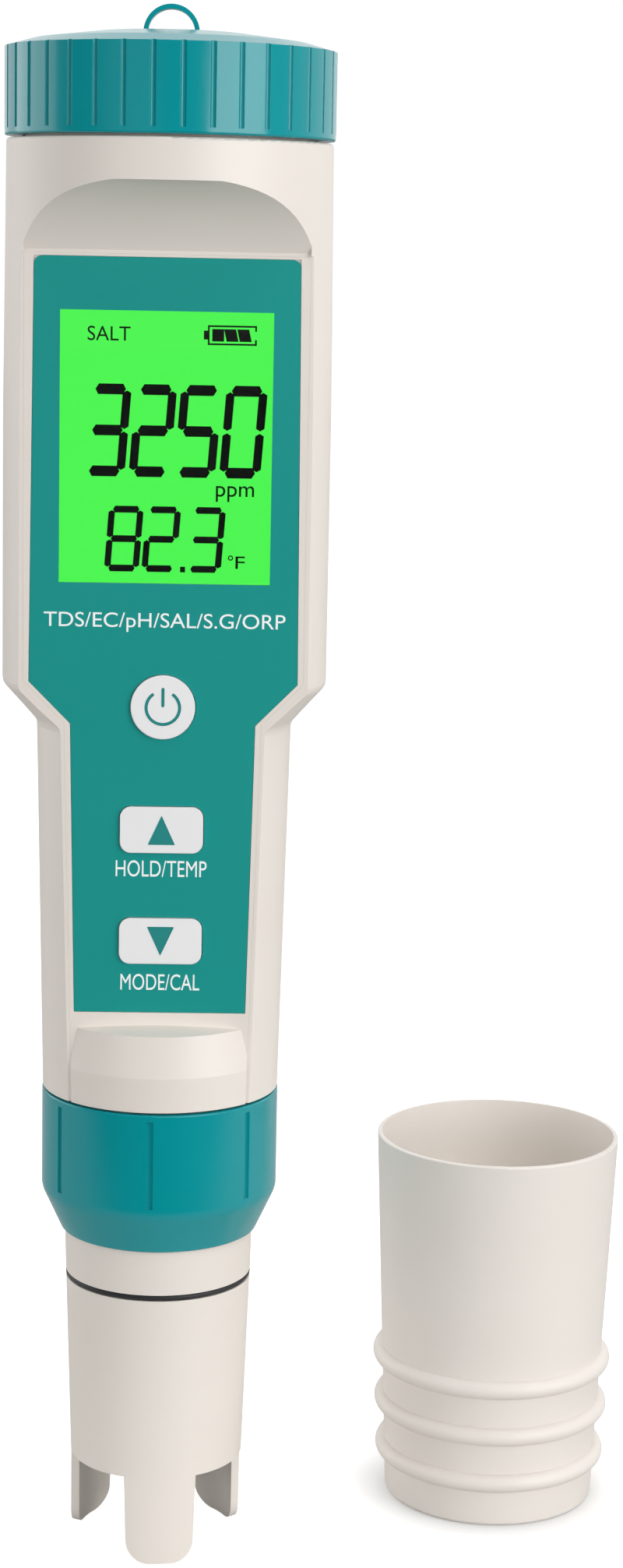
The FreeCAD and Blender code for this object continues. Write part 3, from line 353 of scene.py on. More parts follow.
@dataclass(frozen=True)
class CircuitBoard(Finish):
    """Glass-epoxy laminate under green solder mask: the copper tracks show as a lighter, raised pattern."""

    mask: str = "0E5A33"
    track: str = "1F8148"
    pitch_mm: float = 1.6

    def shade(self, tree: bpy.types.NodeTree) -> bpy.types.NodeSocket:
        """Wire the laminate.

        Args:
            tree: Node tree of the material.

        Returns:
            The shader socket.
        """
        where = add(tree, "ShaderNodeTexCoord").outputs["Object"]
        cells = add(tree, "ShaderNodeTexVoronoi",
                    {"distance": "CHEBYCHEV", "feature": "F2", "Scale": per_mm(self.pitch_mm * 2)},
                    {"Vector": where}).outputs[0]
        tracks = add(tree, "ShaderNodeTexWave", {"Scale": per_mm(self.pitch_mm * 6), "Distortion": 6.0,
                                                 "Detail": 0.0}, {"Vector": where}).outputs[1]
        both = add(tree, "ShaderNodeMath", {"operation": "MULTIPLY"}, {0: cells, 1: tracks}).outputs[0]
        edge = add(tree, "ShaderNodeMapRange", {"From Min": 0.28, "From Max": 0.32},
                   {"Value": both}).outputs[0]
        tint = add(tree, "ShaderNodeMix", {"data_type": "RGBA", 6: linear(self.mask), 7: linear(self.track)},
                   {0: edge}).outputs[2]
        relief = add(tree, "ShaderNodeBump", {"Strength": 0.5, "Distance": 0.03 * MM},
                     {"Height": edge}).outputs[0]
        shader = add(tree, "ShaderNodeBsdfPrincipled", {"IOR": 1.5, "Roughness": 0.28},
                     {"Base Color": tint, "Normal": relief})
        return shader.outputs[0]


@dataclass(frozen=True)
class Porous(Finish):
    """Cast, pressed or foamed body with open pores: the pits get painted shade, darker than the skin between
    them.
    """

    skin: str
    painted_pit_shade: str
    pore_mm: float
    depth_mm: float
    roughness: float

    def shade(self, tree: bpy.types.NodeTree) -> bpy.types.NodeSocket:
        """Wire the porous body.

        Args:
            tree: Node tree of the material.

        Returns:
            The shader socket.
        """
        where = add(tree, "ShaderNodeTexCoord").outputs["Object"]
        pores = add(tree, "ShaderNodeTexVoronoi", {"Scale": per_mm(self.pore_mm)},
                    {"Vector": where}).outputs[0]
        open_pores = add(tree, "ShaderNodeMapRange", {"From Min": 0.1, "From Max": 0.5},
                         {"Value": pores}).outputs[0]
        # painted shade: where the bump sinks the pores, their colour goes darker
        tint = add(tree, "ShaderNodeMix", {"data_type": "RGBA", 6: linear(self.painted_pit_shade), 7: linear(self.skin)},
                   {0: open_pores}).outputs[2]
        relief = add(tree, "ShaderNodeBump", {"Strength": 0.8, "Distance": self.depth_mm * MM},
                     {"Height": open_pores}).outputs[0]
        shader = add(tree, "ShaderNodeBsdfPrincipled",
                     {"Roughness": self.roughness, "Specular IOR Level": 0.3},
                     {"Base Color": tint, "Normal": relief})
        return shader.outputs[0]


# warm white with a broad, soft sheen and no visible grain
WHITE_ABS = Moulded("white_abs_satin_moulded", "white_plastic", "F1EAE2", "ECE4DC", 0.42, edge_mm=0.02)
# the same white, a little duller and waxier
WHITE_STORE = Moulded("white_polypropylene_moulded", "white_cap", "EEE8E2", "E8E1DA", 0.46, grain_mm=0.5)
# cold white that stands out from the warm housing
WHITE_KEY = Moulded("white_abs_key_moulded", "white_key", "FAFAFB", "F7F7F8", 0.38, edge_mm=0.2)
# deep teal with sharp-edged, pale reflections of the lights
TEAL_ABS = Moulded("teal_abs_gloss_moulded", "teal_plastic", "009BA3", "00939B", 0.16, grain_mm=0.6,
                   grain_depth=0.003, edge_mm=0.1)
# flat teal without reflections
LABEL = PrintedFilm("teal_polycarbonate_overlay_printed", "label_film", "1A9B94", "189690")
# colourless pane, seen only where it mirrors a light
WINDOW = Clear("acrylic_window_moulded", "clear_window", "FDFFFD", 1.49, 9.0)
# bright green field behind the figures
CELL = LitDisplay("display_cell_backlit", "lcd", "50FC55", "4CF650")
# paler green block behind the cell
GUIDE = LitDisplay("light_guide_acrylic_lit", "light_guide", "9CFF9A", "84F783", 0.6)
# figures as black as the cell can switch
SEGMENT = Printed("display_segment_dark", "lcd", "09080A", "0C0B0D")
# crisp white lettering with a painted glow: the ink emits a little light so that it stays white on the teal
WHITE_INK = Printed("white_ink_screen_printed_painted_glow", "label_film", "F2F8F7", "E8F0EF", glow=0.12)
# key signs in the overlay's colour
TEAL_INK = Printed("teal_ink_screen_printed", "white_key", "2E8F8C", "2A8A87")
# near-black plastic inside the housing
DARK = Moulded("black_nylon_moulded", "dark_plastic", "26272A", "1F2023", 0.5)
# dark green laminate with lighter tracks
BOARD = CircuitBoard("glass_epoxy_board_solder_masked", "board")
# grey screws and cans with fine turning lines
STEEL = Metal("stainless_steel_turned", "steel", "C9CBCC", "A9ACAE", 0.28)
# warmer and brighter than the steel
CELL_STEEL = Metal("nickel_plated_cell_can_drawn", "cell_steel", "D6D4CE", "B9B7B0", 0.24)
# dull black blocks on the board
CHIP = Moulded("epoxy_chip_body_moulded", "chip", "1B1C1E", "232427", 0.6, grain_mm=0.15, edge_mm=0.05)
# smooth red and black insulation
RED_WIRE = Moulded("red_pvc_wire_extruded", "red_wire", "B3221C", "A81D18", 0.4)
BLACK_WIRE = Moulded("black_pvc_wire_extruded", "black_wire", "1C1C1E", "252528", 0.4)
# soft black ring with a dull shine
RUBBER = Moulded("black_nitrile_rubber_moulded", "black_rubber", "232325", "2C2C2E", 0.55, grain_mm=0.2,
                 grain_depth=0.01)
# yellow pins that mirror their surroundings
GOLD = Metal("gold_plated_pin_turned", "gold", "E8BE63", "C99A44", 0.22)
# thin glass, bright at its rims
GLASS = Clear("borosilicate_glass_blown", "clear_glass", "F4FBFA", 1.474, 3.0)
# chalky off-white plug
CERAMIC = Porous("alumina_ceramic_sintered", "ceramic", "E9E5DC", "C9C3B6", 0.12, 0.01, 0.7)
# white metal tip, mirror-like
PLATINUM = Metal("platinum_band_drawn", "platinum", "D8D6D2", "BDBBB6", 0.2)
# dark grey rods with a faint shine
GRAPHITE = Porous("graphite_rod_pressed", "graphite", "3A3B3D", "1F2022", 0.1, 0.008, 0.45)
# off-white foam full of open cells, drawn coarser than they are so that they show; the cells are darkened
# with painted shade
SPONGE = Porous("melamine_sponge_foamed", "sponge", "F1EFE8", "A8A59C", 0.55, 0.25, 0.95)

BY_SLOT = {finish.slot: finish for finish in (
    WHITE_ABS, WHITE_STORE, WHITE_KEY, TEAL_ABS, LABEL, WINDOW, CELL, GUIDE, DARK, BOARD, STEEL, CELL_STEEL,
    CHIP, RED_WIRE, BLACK_WIRE, RUBBER, GOLD, GLASS, CERAMIC, PLATINUM, GRAPHITE, SPONGE)}


# ---- shaping --------------------------------------------------------------------------------------------

def finished(name: str, shape: bmesh.types.BMesh, finish: Finish, body: str,
             smooth: bool = False) -> bpy.types.Object:
    """Turn a shape into a piece that rides on a body.

    Args:
        name: Name of the piece.
        shape: Shape in its place, in metres; it is freed.
        finish: What the piece is made of.
        body: Body that carries the piece.
        smooth: Whether curved faces are shaded smoothly.

    Returns:
        The piece.
    """
    bmesh.ops.remove_doubles(shape, verts=shape.verts[:], dist=1e-7)
    bmesh.ops.recalc_face_normals(shape, faces=shape.faces[:])
    mesh = bpy.data.meshes.new(name)
    shape.to_mesh(mesh)
    shape.free()
    mesh.materials.append(finish.material())
    piece = bpy.data.objects.new(name, mesh)
    bpy.context.scene.collection.objects.link(piece)
    if smooth:
        mesh.shade_smooth()
        mesh.set_sharp_from_angle(angle=math.radians(40))
    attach(piece, body)
    return piece


class Drawing:
    """Thin raised artwork on a front face: drawn in millimetres across and upwards, then put in place."""

    def __init__(self, thick_mm: float) -> None:
        """Start an empty drawing of one ink thickness."""
        self.shape = bmesh.new()
        self.thick = thick_mm

    def _raise(self, verts: list[bmesh.types.BMVert]) -> None:
        """Give flat faces the ink's thickness.

        Args:
            verts: Corners of the flat faces.
        """
        faces = list({face for vert in verts for face in vert.link_faces})
        grown = bmesh.ops.extrude_face_region(self.shape, geom=faces)
        tops = [item for item in grown["geom"] if isinstance(item, bmesh.types.BMVert)]
        bmesh.ops.translate(self.shape, verts=tops, vec=(0, 0, self.thick))

    def _aim(self, verts: list[bmesh.types.BMVert], angle: float) -> None:
        """Turn a polygon about the origin until its first corner lies at an angle."""
        now = math.atan2(verts[0].co.y, verts[0].co.x)
        bmesh.ops.rotate(self.shape, verts=verts, cent=(0, 0, 0), matrix=Matrix.Rotation(angle - now, 3, "Z"))

    def bar(self, start: tuple[float, float], end: tuple[float, float], wide: float,
            lean: float = 0.0) -> None:
        """Draw a straight stroke with pointed ends.

        Args:
            start: Tip of one end.
            end: Tip of the other end.
            wide: Width of the stroke.
            lean: Share by which everything leans to the right as it goes up.
        """
        first, last = Vector(start), Vector(end)
        length = (last - first).length
        radius = wide / math.sqrt(3)
        made = bmesh.ops.create_circle(self.shape, cap_ends=True, segments=6, radius=radius)["verts"]
        self._aim(made, 0)
        for side in (-1, 1):
            half = [vert for vert in made if vert.co.x * side > 0]
            bmesh.ops.translate(self.shape, verts=half, vec=(side * (length / 2 - radius), 0, 0))
        middle = (first + last) / 2
        turn = Matrix.Rotation(math.atan2(last.y - first.y, last.x - first.x), 4, "Z")
        slant = Matrix(((1, lean, 0, 0), (0, 1, 0, 0), (0, 0, 1, 0), (0, 0, 0, 1)))
        bmesh.ops.transform(self.shape, verts=made,
                            matrix=slant @ Matrix.Translation((middle.x, middle.y, 0)) @ turn)
        self._raise(made)

    def patch(self, left: float, right: float, low: float, high: float, lean: float = 0.0,
              round_mm: float = 0.0) -> None:
        """Draw a filled rectangle.

        Args:
            left: Left side.
            right: Right side.
            low: Lower side.
            high: Upper side.
            lean: Share by which it leans to the right as it goes up, about its own middle.
            round_mm: Corner radius.
        """
        made = bmesh.ops.create_grid(self.shape, x_segments=1, y_segments=1, size=0.5)["verts"]
        slant = Matrix(((1, lean, 0, 0), (0, 1, 0, 0), (0, 0, 1, 0), (0, 0, 0, 1)))
        scale = Matrix.Diagonal((right - left, high - low, 1, 1))
        place = Matrix.Translation(((left + right) / 2, (low + high) / 2, 0))
        bmesh.ops.transform(self.shape, verts=made, matrix=place @ slant @ scale)
        if round_mm:
            made = bmesh.ops.bevel(self.shape, geom=made, affect="VERTICES", offset=round_mm, segments=6,
                                   profile=0.5, material=-1)["verts"]
        self._raise(made)

    def triangle(self, across: float, low: float, high: float, half: float, up: bool) -> None:
        """Draw a filled triangle with slightly rounded corners.

        Args:
            across: Middle of the triangle.
            low: Its lowest level.
            high: Its highest level.
            half: Half of its base.
            up: Whether it points up.
        """
        made = bmesh.ops.create_circle(self.shape, cap_ends=True, segments=3, radius=1)["verts"]
        way = 1 if up else -1
        self._aim(made, way * math.pi / 2)
        bmesh.ops.translate(self.shape, verts=made, vec=(0, -way / 4, 0))
        bmesh.ops.transform(self.shape, verts=made,
                            matrix=Matrix.Translation((across, (low + high) / 2, 0))
                            @ Matrix.Diagonal((2 * half / math.sqrt(3), (high - low) / 1.5, 1, 1)))
        made = bmesh.ops.bevel(self.shape, geom=made, affect="VERTICES", offset=0.12, segments=4, profile=0.5,
                               material=-1)["verts"]
        self._raise(made)

    def arc(self, across: float, level: float, radius: float, wide: float, start_deg: float,
            sweep_deg: float) -> None:
        """Draw part of a ring.

        Args:
            across: Centre across.
            level: Centre upwards.
            radius: Middle radius of the ring.
            wide: Width of the stroke.
            start_deg: Where it starts, counted from the right.
            sweep_deg: How far it goes, anticlockwise.
        """
        inner = self.shape.verts.new((radius - wide / 2, 0, 0))
        outer = self.shape.verts.new((radius + wide / 2, 0, 0))
        edge = self.shape.edges.new((inner, outer))
        before = set(self.shape.verts) - {inner, outer}
        bmesh.ops.spin(self.shape, geom=[inner, outer, edge], cent=(0, 0, 0), axis=(0, 0, 1),
                       angle=math.radians(sweep_deg), steps=36)
        made = [vert for vert in self.shape.verts if vert not in before]
        bmesh.ops.rotate(self.shape, verts=made, cent=(0, 0, 0),
                         matrix=Matrix.Rotation(math.radians(start_deg), 3, "Z"))
        bmesh.ops.translate(self.shape, verts=made, vec=(across, level, 0))
        self._raise(made)

    def words(self, text: str, left: float, right: float, low: float, high: float, bold: float = 0.0) -> None:
        """Draw generic lettering stretched to fill a rectangle.

        Args:
            text: What it says.
            left: Left side.
            right: Right side.
            low: Lower side.
            high: Upper side.
            bold: Extra stroke weight, as a share of the letter size.
        """
        curve = bpy.data.curves.new("lettering", "FONT")
        curve.body = text
        curve.offset = bold
        curve.resolution_u = 6
        holder = bpy.data.objects.new("lettering", curve)
        bpy.context.scene.collection.objects.link(holder)
        bpy.context.view_layer.update()
        mesh = bpy.data.meshes.new_from_object(holder.evaluated_get(bpy.context.evaluated_depsgraph_get()))
        before = set(self.shape.verts)
        self.shape.from_mesh(mesh)
        made = [vert for vert in self.shape.verts if vert not in before]
        bpy.data.objects.remove(holder)
        bpy.data.meshes.remove(mesh)
        xs = [vert.co.x for vert in made]
        ys = [vert.co.y for vert in made]
        across = (right - left) / (max(xs) - min(xs))
        upwards = (high - low) / (max(ys) - min(ys))
        scale = Matrix.Diagonal((across, upwards, 1, 1))
        bmesh.ops.transform(self.shape, verts=made, matrix=Matrix.Translation((left, low, 0)) @ scale
                            @ Matrix.Translation((-min(xs), -min(ys), 0)))
        self._raise(made)

    def put(self, name: str, front: float, finish: Finish, body: str) -> bpy.types.Object:
        """Stand the drawing up on a front face.

        Args:
            name: Name of the piece.
            front: Y of the face it lies on, in metres.
            finish: Ink it is printed with.
            body: Body that carries it.

        Returns:
            The piece.
        """
        upright = Matrix.Translation((0, front, 0)) @ Matrix.Rotation(math.pi / 2, 4, "X")
        bmesh.ops.transform(self.shape, verts=self.shape.verts[:], matrix=upright @ Matrix.Scale(MM, 4))
        return finished(name, self.shape, finish, body)


def helix_ridge(name: str, radius: float, low: float, turns: float, pitch: float, proud: float,
                finish: Finish, body: str) -> bpy.types.Object:
    """Raise a screw thread round a neck.

    Args:
        name: Name of the piece.
        radius: Radius of the neck, in metres.
        low: Height of the thread's start, in metres.
        turns: How many times it goes round.
        pitch: Rise of one turn, in metres.
        proud: Height of the crest over the neck, in metres.
        finish: What it is made of.
        body: Body that carries it.

    Returns:
        The thread.
    """
    shape = bmesh.new()
    root, root_half, crest_half = -0.15 * MM, 0.28, 0.1
    corners = [(root, -root_half), (proud, -crest_half), (proud, crest_half), (root, root_half)]
    ring = [shape.verts.new((radius + out, 0, low + rise * pitch)) for out, rise in corners]
    section = shape.faces.new(ring)
    turn_steps = 72
    bmesh.ops.spin(shape, geom=[section, *section.edges, *ring], cent=(0, 0, 0), axis=(0, 0, 1),
                   dvec=(0, 0, pitch / turn_steps), angle=math.tau * turns, steps=int(turns * turn_steps))
    return finished(name, shape, finish, body, smooth=True)


# ---- sub-assemblies -------------------------------------------------------------------------------------

@dataclass
class Assembly:
    """Pieces that belong together; dress gives each CAD node the finish of its own material slot."""

    nodes: tuple[str, ...] = ()

    def build(self) -> None:
        """Model the pieces that the fixed frame lacks; a plain assembly adds none."""

    def dress(self) -> None:
        """Put each node's real finish on it."""
        slots = {part["node"]: part["material_slot"] for part in frame["record"]["subparts"]}
        for name in self.nodes:
            for holder in frame["nodes"][name].material_slots:
                holder.material = BY_SLOT[slots[name]].material()
        log.info("%s: %d nodes dressed", type(self).__name__, len(self.nodes))


@dataclass
class Housing(Assembly):
    """One-piece shell, its front cover and the screw threads on its neck and tail."""

    nodes: tuple[str, ...] = ("body_shell", "front_cover")
    neck_turns: float = 2.4
    neck_pitch: float = 2.5 * MM
    neck_drop: float = 7.2 * MM
    gasket_lift: float = 0.3 * MM
    tail_turns: float = 4.2
    tail_pitch: float = 2.0 * MM
    tail_rise: float = 1.0 * MM
    washer_inset: float = 0.2 * MM
    crest: float = 0.17 * MM

    def build(self) -> None:
        """Raise the two threads, which show when the cap or the collar is off."""
        neck_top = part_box("cap_gasket")[0].z - self.gasket_lift
        neck_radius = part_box("cap_gasket")[1].x
        helix_ridge("neck_thread", neck_radius, neck_top - self.neck_drop, self.neck_turns, self.neck_pitch,
                    self.crest, WHITE_ABS, "tester")
        tail_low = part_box("body_shell")[0].z
        tail_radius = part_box("probe_washer")[1].x + self.washer_inset
        helix_ridge("tail_thread", tail_radius, tail_low + self.tail_rise, self.tail_turns, self.tail_pitch,
                    self.crest, WHITE_ABS, "tester")


class Segments(Enum):
    """Strokes that each figure lights: from a, the top one, clockwise to f; g is the middle one."""

    ZERO = "abcdef"
    TWO = "abged"
    THREE = "abgcd"
    FIVE = "afgcd"
    EIGHT = "abcdefg"


@dataclass
class Figure:
    """One seven-stroke figure of the display."""

    strokes: Segments
    across: float
    level: float
    wide: float
    tall: float
    bar_tall: float
    bar_wide: float
    gap: float = 0.14
    lean: float = 0.073

    def draw(self, drawing: Drawing) -> None:
        """Draw the lit strokes.

        Args:
            drawing: Artwork that they join.
        """
        x, h = self.wide / 2, self.tall / 2
        ends = {
            "a": ((-x, h), (x, h)), "g": ((-x, 0), (x, 0)), "d": ((-x, -h), (x, -h)),
            "b": ((x, 0), (x, h)), "c": ((x, -h), (x, 0)), "f": ((-x, 0), (-x, h)), "e": ((-x, -h), (-x, 0)),
        }
        for stroke in self.strokes.value:
            first, last = (Vector(end) for end in ends[stroke])
            inward = (last - first).normalized() * self.gap
            wide = self.bar_tall if stroke in "agd" else self.bar_wide
            first = first + inward
            last = last - inward
            shift = self.across - self.lean * self.level
            drawing.bar((first.x + shift, first.y + self.level), (last.x + shift, last.y + self.level), wide,
                        self.lean)


@dataclass
class Display(Assembly):
    """Back-lit display behind its window, with its figures and signs."""

    nodes: tuple[str, ...] = ("display_window", "lcd_glass", "lcd_backlight", "lcd_frame")
    big: tuple[Segments, ...] = (Segments.THREE, Segments.TWO, Segments.FIVE, Segments.ZERO)
    small: tuple[tuple[Segments, float], ...] = (
        (Segments.EIGHT, -4.77), (Segments.TWO, -0.44), (Segments.THREE, 4.75))
    first_across: float = -6.76
    pitch: float = 5.22
    big_level: float = 17.5
    small_level: float = 5.0
    signs: tuple[tuple[str, float, float, float, float], ...] = (
        ("SALT", -9.12, -4.2, 27.7, 29.35), ("ppm", 5.82, 10.23, 9.45, 11.3), ("F", 8.2, 9.28, 1.7, 3.15))

    def build(self) -> None:
        """Draw the figures, the battery sign and the units on the cell's front face."""
        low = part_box("display_window")[0].z / MM
        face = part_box("lcd_glass")[0].y
        drawing = Drawing(0.05)
        for number, strokes in enumerate(self.big):
            across = self.first_across + number * self.pitch
            Figure(strokes, across, low + self.big_level, wide=3.79, tall=9.41, bar_tall=1.22,
                   bar_wide=0.98).draw(drawing)
        for strokes, across in self.small:
            Figure(strokes, across, low + self.small_level, wide=3.29, tall=6.83, bar_tall=0.78,
                   bar_wide=0.74, gap=0.12).draw(drawing)
        drawing.patch(1.78, 2.36, low + 1.2, low + 1.85)
        self._battery(drawing, low)
        for word, left, right, foot, top in self.signs:
            drawing.words(word, left, right, low + foot, low + top)
        drawing.arc(7.62, low + 2.95, 0.24, 0.13, 0, 360)
        drawing.put("display_figures", face, SEGMENT, "tester")

    def _battery(self, drawing: Drawing, low: float) -> None:
        """Draw the charge sign: a case with a knob, open at its right, and three filled cells.

        Args:
            drawing: Artwork that takes the sign.
            low: Level of the display's lower edge in millimetres.
        """
        left, right, foot, top = 4.65, 10.27, low + 27.4, low + 29.65
        line, lip, knob, knob_inset, cells = 0.2, 0.65, 0.46, 0.62, 3
        drawing.patch(left, right, top - line, top)
        drawing.patch(left, right, foot, foot + line)
        drawing.patch(left, left + line, foot + line, top - line)
        drawing.patch(right - line, right, foot + line, foot + lip)
        drawing.patch(right - line, right, top - lip, top - line)
        drawing.patch(left - knob, left, foot + knob_inset, top - knob_inset)
        start, end, gap, inset = left + 0.5, right - 0.6, 0.14, 0.42
        step = (end - start) / cells
        for number in range(cells):
            side = start + number * step
            drawing.patch(side, side + step - gap, foot + inset, top - inset, lean=-0.22 if number else 0.0)


@dataclass
class FrontLabel(Assembly):
    """Printed overlay with its white legends."""

    nodes: tuple[str, ...] = ("panel_label",)
    legend: str = "TDS/EC/pH/SAL/S.G/ORP"
    words: tuple[tuple[str, str, float, float], ...] = (
        ("up_key", "HOLD/TEMP", 5.34, 0.95), ("down_key", "MODE/CAL", 4.67, 1.3))
    word_tall: float = 1.95
    key_lip: float = 0.9

    def build(self) -> None:
        """Print the measures above the keys and the word under each arrow key."""
        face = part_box("panel_label")[0].y
        drawing = Drawing(0.03)
        window_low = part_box("display_window")[0].z / MM
        drawing.words(self.legend, -13.9, 14.1, window_low - 5.65, window_low - 3.4)
        for key, word, half, drop in self.words:
            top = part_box(key)[0].z / MM + self.key_lip - drop
            drawing.words(word, -half, half, top - self.word_tall, top)
        drawing.put("label_legends", face, WHITE_INK, "tester")


@dataclass
class Keypad(Assembly):
    """Power key and two arrow keys with their printed signs, plungers and switches."""

    nodes: tuple[str, ...] = (
        "power_key", "up_key", "down_key", "power_plunger", "up_plunger", "down_plunger", "power_switch",
        "up_switch", "down_switch")
    ring: float = 1.95
    stroke: float = 0.36
    arrow_rise: float = 1.75
    arrow_half: float = 1.6

    def build(self) -> None:
        """Print the signs on the key faces."""
        for name in ("power", "up", "down"):
            key = name + "_key"
            low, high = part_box(key)
            level = (low.z + high.z) / 2 / MM
            drawing = Drawing(0.03)
            if name == "power":
                drawing.arc(0, level - 0.05, self.ring, self.stroke, 124, 292)
                drawing.patch(-self.stroke / 2, self.stroke / 2, level + 0.05, level + 2.3, round_mm=0.15)
            else:
                drawing.triangle(0, level - self.arrow_rise, level + self.arrow_rise, self.arrow_half,
                                 name == "up")
            drawing.put(key + "_sign", low.y, TEAL_INK, name + "_button")


@dataclass
class Electronics(Assembly):
    """Main board, what is soldered to it, and the socket for the probe."""

    nodes: tuple[str, ...] = (
        "main_board", "board_screws", "main_controller", "measuring_amplifier", "memory_chip",
        "display_driver", "timing_crystal", "wire_terminal", "probe_terminal", "reservoir_capacitor",
        "sensor_socket", "socket_leads", "battery_lead_red", "battery_lead_black")


@dataclass
class BatteryBay(Assembly):
    """Cells in their holder, and the fluted cap with its gasket, bridge contact and lanyard loop."""

    nodes: tuple[str, ...] = (
        "battery_holder", "negative_contact", "positive_contact", "battery_cell_1", "battery_cell_2",
        "battery_cell_3", "battery_cell_4", "cap_gasket", "bridge_contact", "battery_cap", "lanyard_loop")


@dataclass
class Collar(Assembly):
    """Ribbed nut that holds the probe."""

    nodes: tuple[str, ...] = ("collar_nut",)


@dataclass
class Probe(Assembly):
    """Barrel with its guard prongs, seal, plug and sensors."""

    nodes: tuple[str, ...] = (
        "probe_body", "probe_seal", "probe_washer", "probe_plug", "contact_pins", "ph_stem", "ph_bulb",
        "reference_junction", "orp_electrode", "temperature_sensor", "conductivity_pins", "sensor_plate",
        "probe_leads")


@dataclass
class StorageCap(Assembly):
    """Cap that keeps the probe wet, with a sponge at the bottom."""

    nodes: tuple[str, ...] = ("storage_cap",)
    crumb: float = 0.18 * MM
    crumb_mm_apart: float = 1.1
    edge: float = 0.5 * MM
    rings: int = 5
    ring_step: float = 1.4 * MM

    def build(self) -> None:
        """Model the sponge: a cut disc with soft edges and an uneven, open top."""
        low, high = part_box("storage_sponge")
        centre = (low + high) / 2
        shape = bmesh.new()
        bmesh.ops.create_cone(shape, cap_ends=True, segments=72, radius1=(high.x - low.x) / 2,
                              radius2=(high.x - low.x) / 2, depth=high.z - low.z)
        rims = [edge for edge in shape.edges if any(len(face.verts) > 4 for face in edge.link_faces)]
        bmesh.ops.bevel(shape, geom=rims, affect="EDGES", offset=self.edge, segments=4, profile=0.5,
                        material=-1)
        caps = [face for face in shape.faces if len(face.verts) > 4]
        for _ in range(self.rings):
            bmesh.ops.inset_region(shape, faces=caps, thickness=self.ring_step, use_even_offset=True)
        for vert in shape.verts:
            lift = noise.noise(vert.co * per_mm(self.crumb_mm_apart)) * self.crumb
            vert.co += vert.co.normalized() * (lift - self.crumb)
        bmesh.ops.translate(shape, verts=shape.verts[:], vec=centre)
        sponge = finished("wetting_sponge", shape, SPONGE, "storage", smooth=True)
        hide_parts("storage_sponge")


# ---- studio ---------------------------------------------------------------------------------------------

@dataclass
class Softbox:
    """Large soft light that faces the object; glossy pieces show it only where it is mirrored."""

    name: str
    azimuth_deg: float
    distance: float
    wide: float
    tall: float
    middle: float
    radiance: float
    mirrored: bool = True

    def build(self) -> None:
        """Hang the light; azimuth runs from the front towards the right."""
        lamp = bpy.data.lights.new(self.name, "AREA")
        lamp.shape = "RECTANGLE"
        lamp.size, lamp.size_y = self.wide, self.tall
        lamp.energy = self.radiance * math.pi * self.wide * self.tall
        holder = bpy.data.objects.new(self.name, lamp)
        angle = math.radians(self.azimuth_deg)
        back = Vector((math.sin(angle), -math.cos(angle), 0))
        holder.location = back * self.distance + Vector((0, 0, self.middle))
        holder.rotation_euler = back.to_track_quat("Z", "Y").to_euler()
        holder.visible_camera = False
        holder.visible_glossy = self.mirrored
        bpy.context.scene.collection.objects.link(holder)


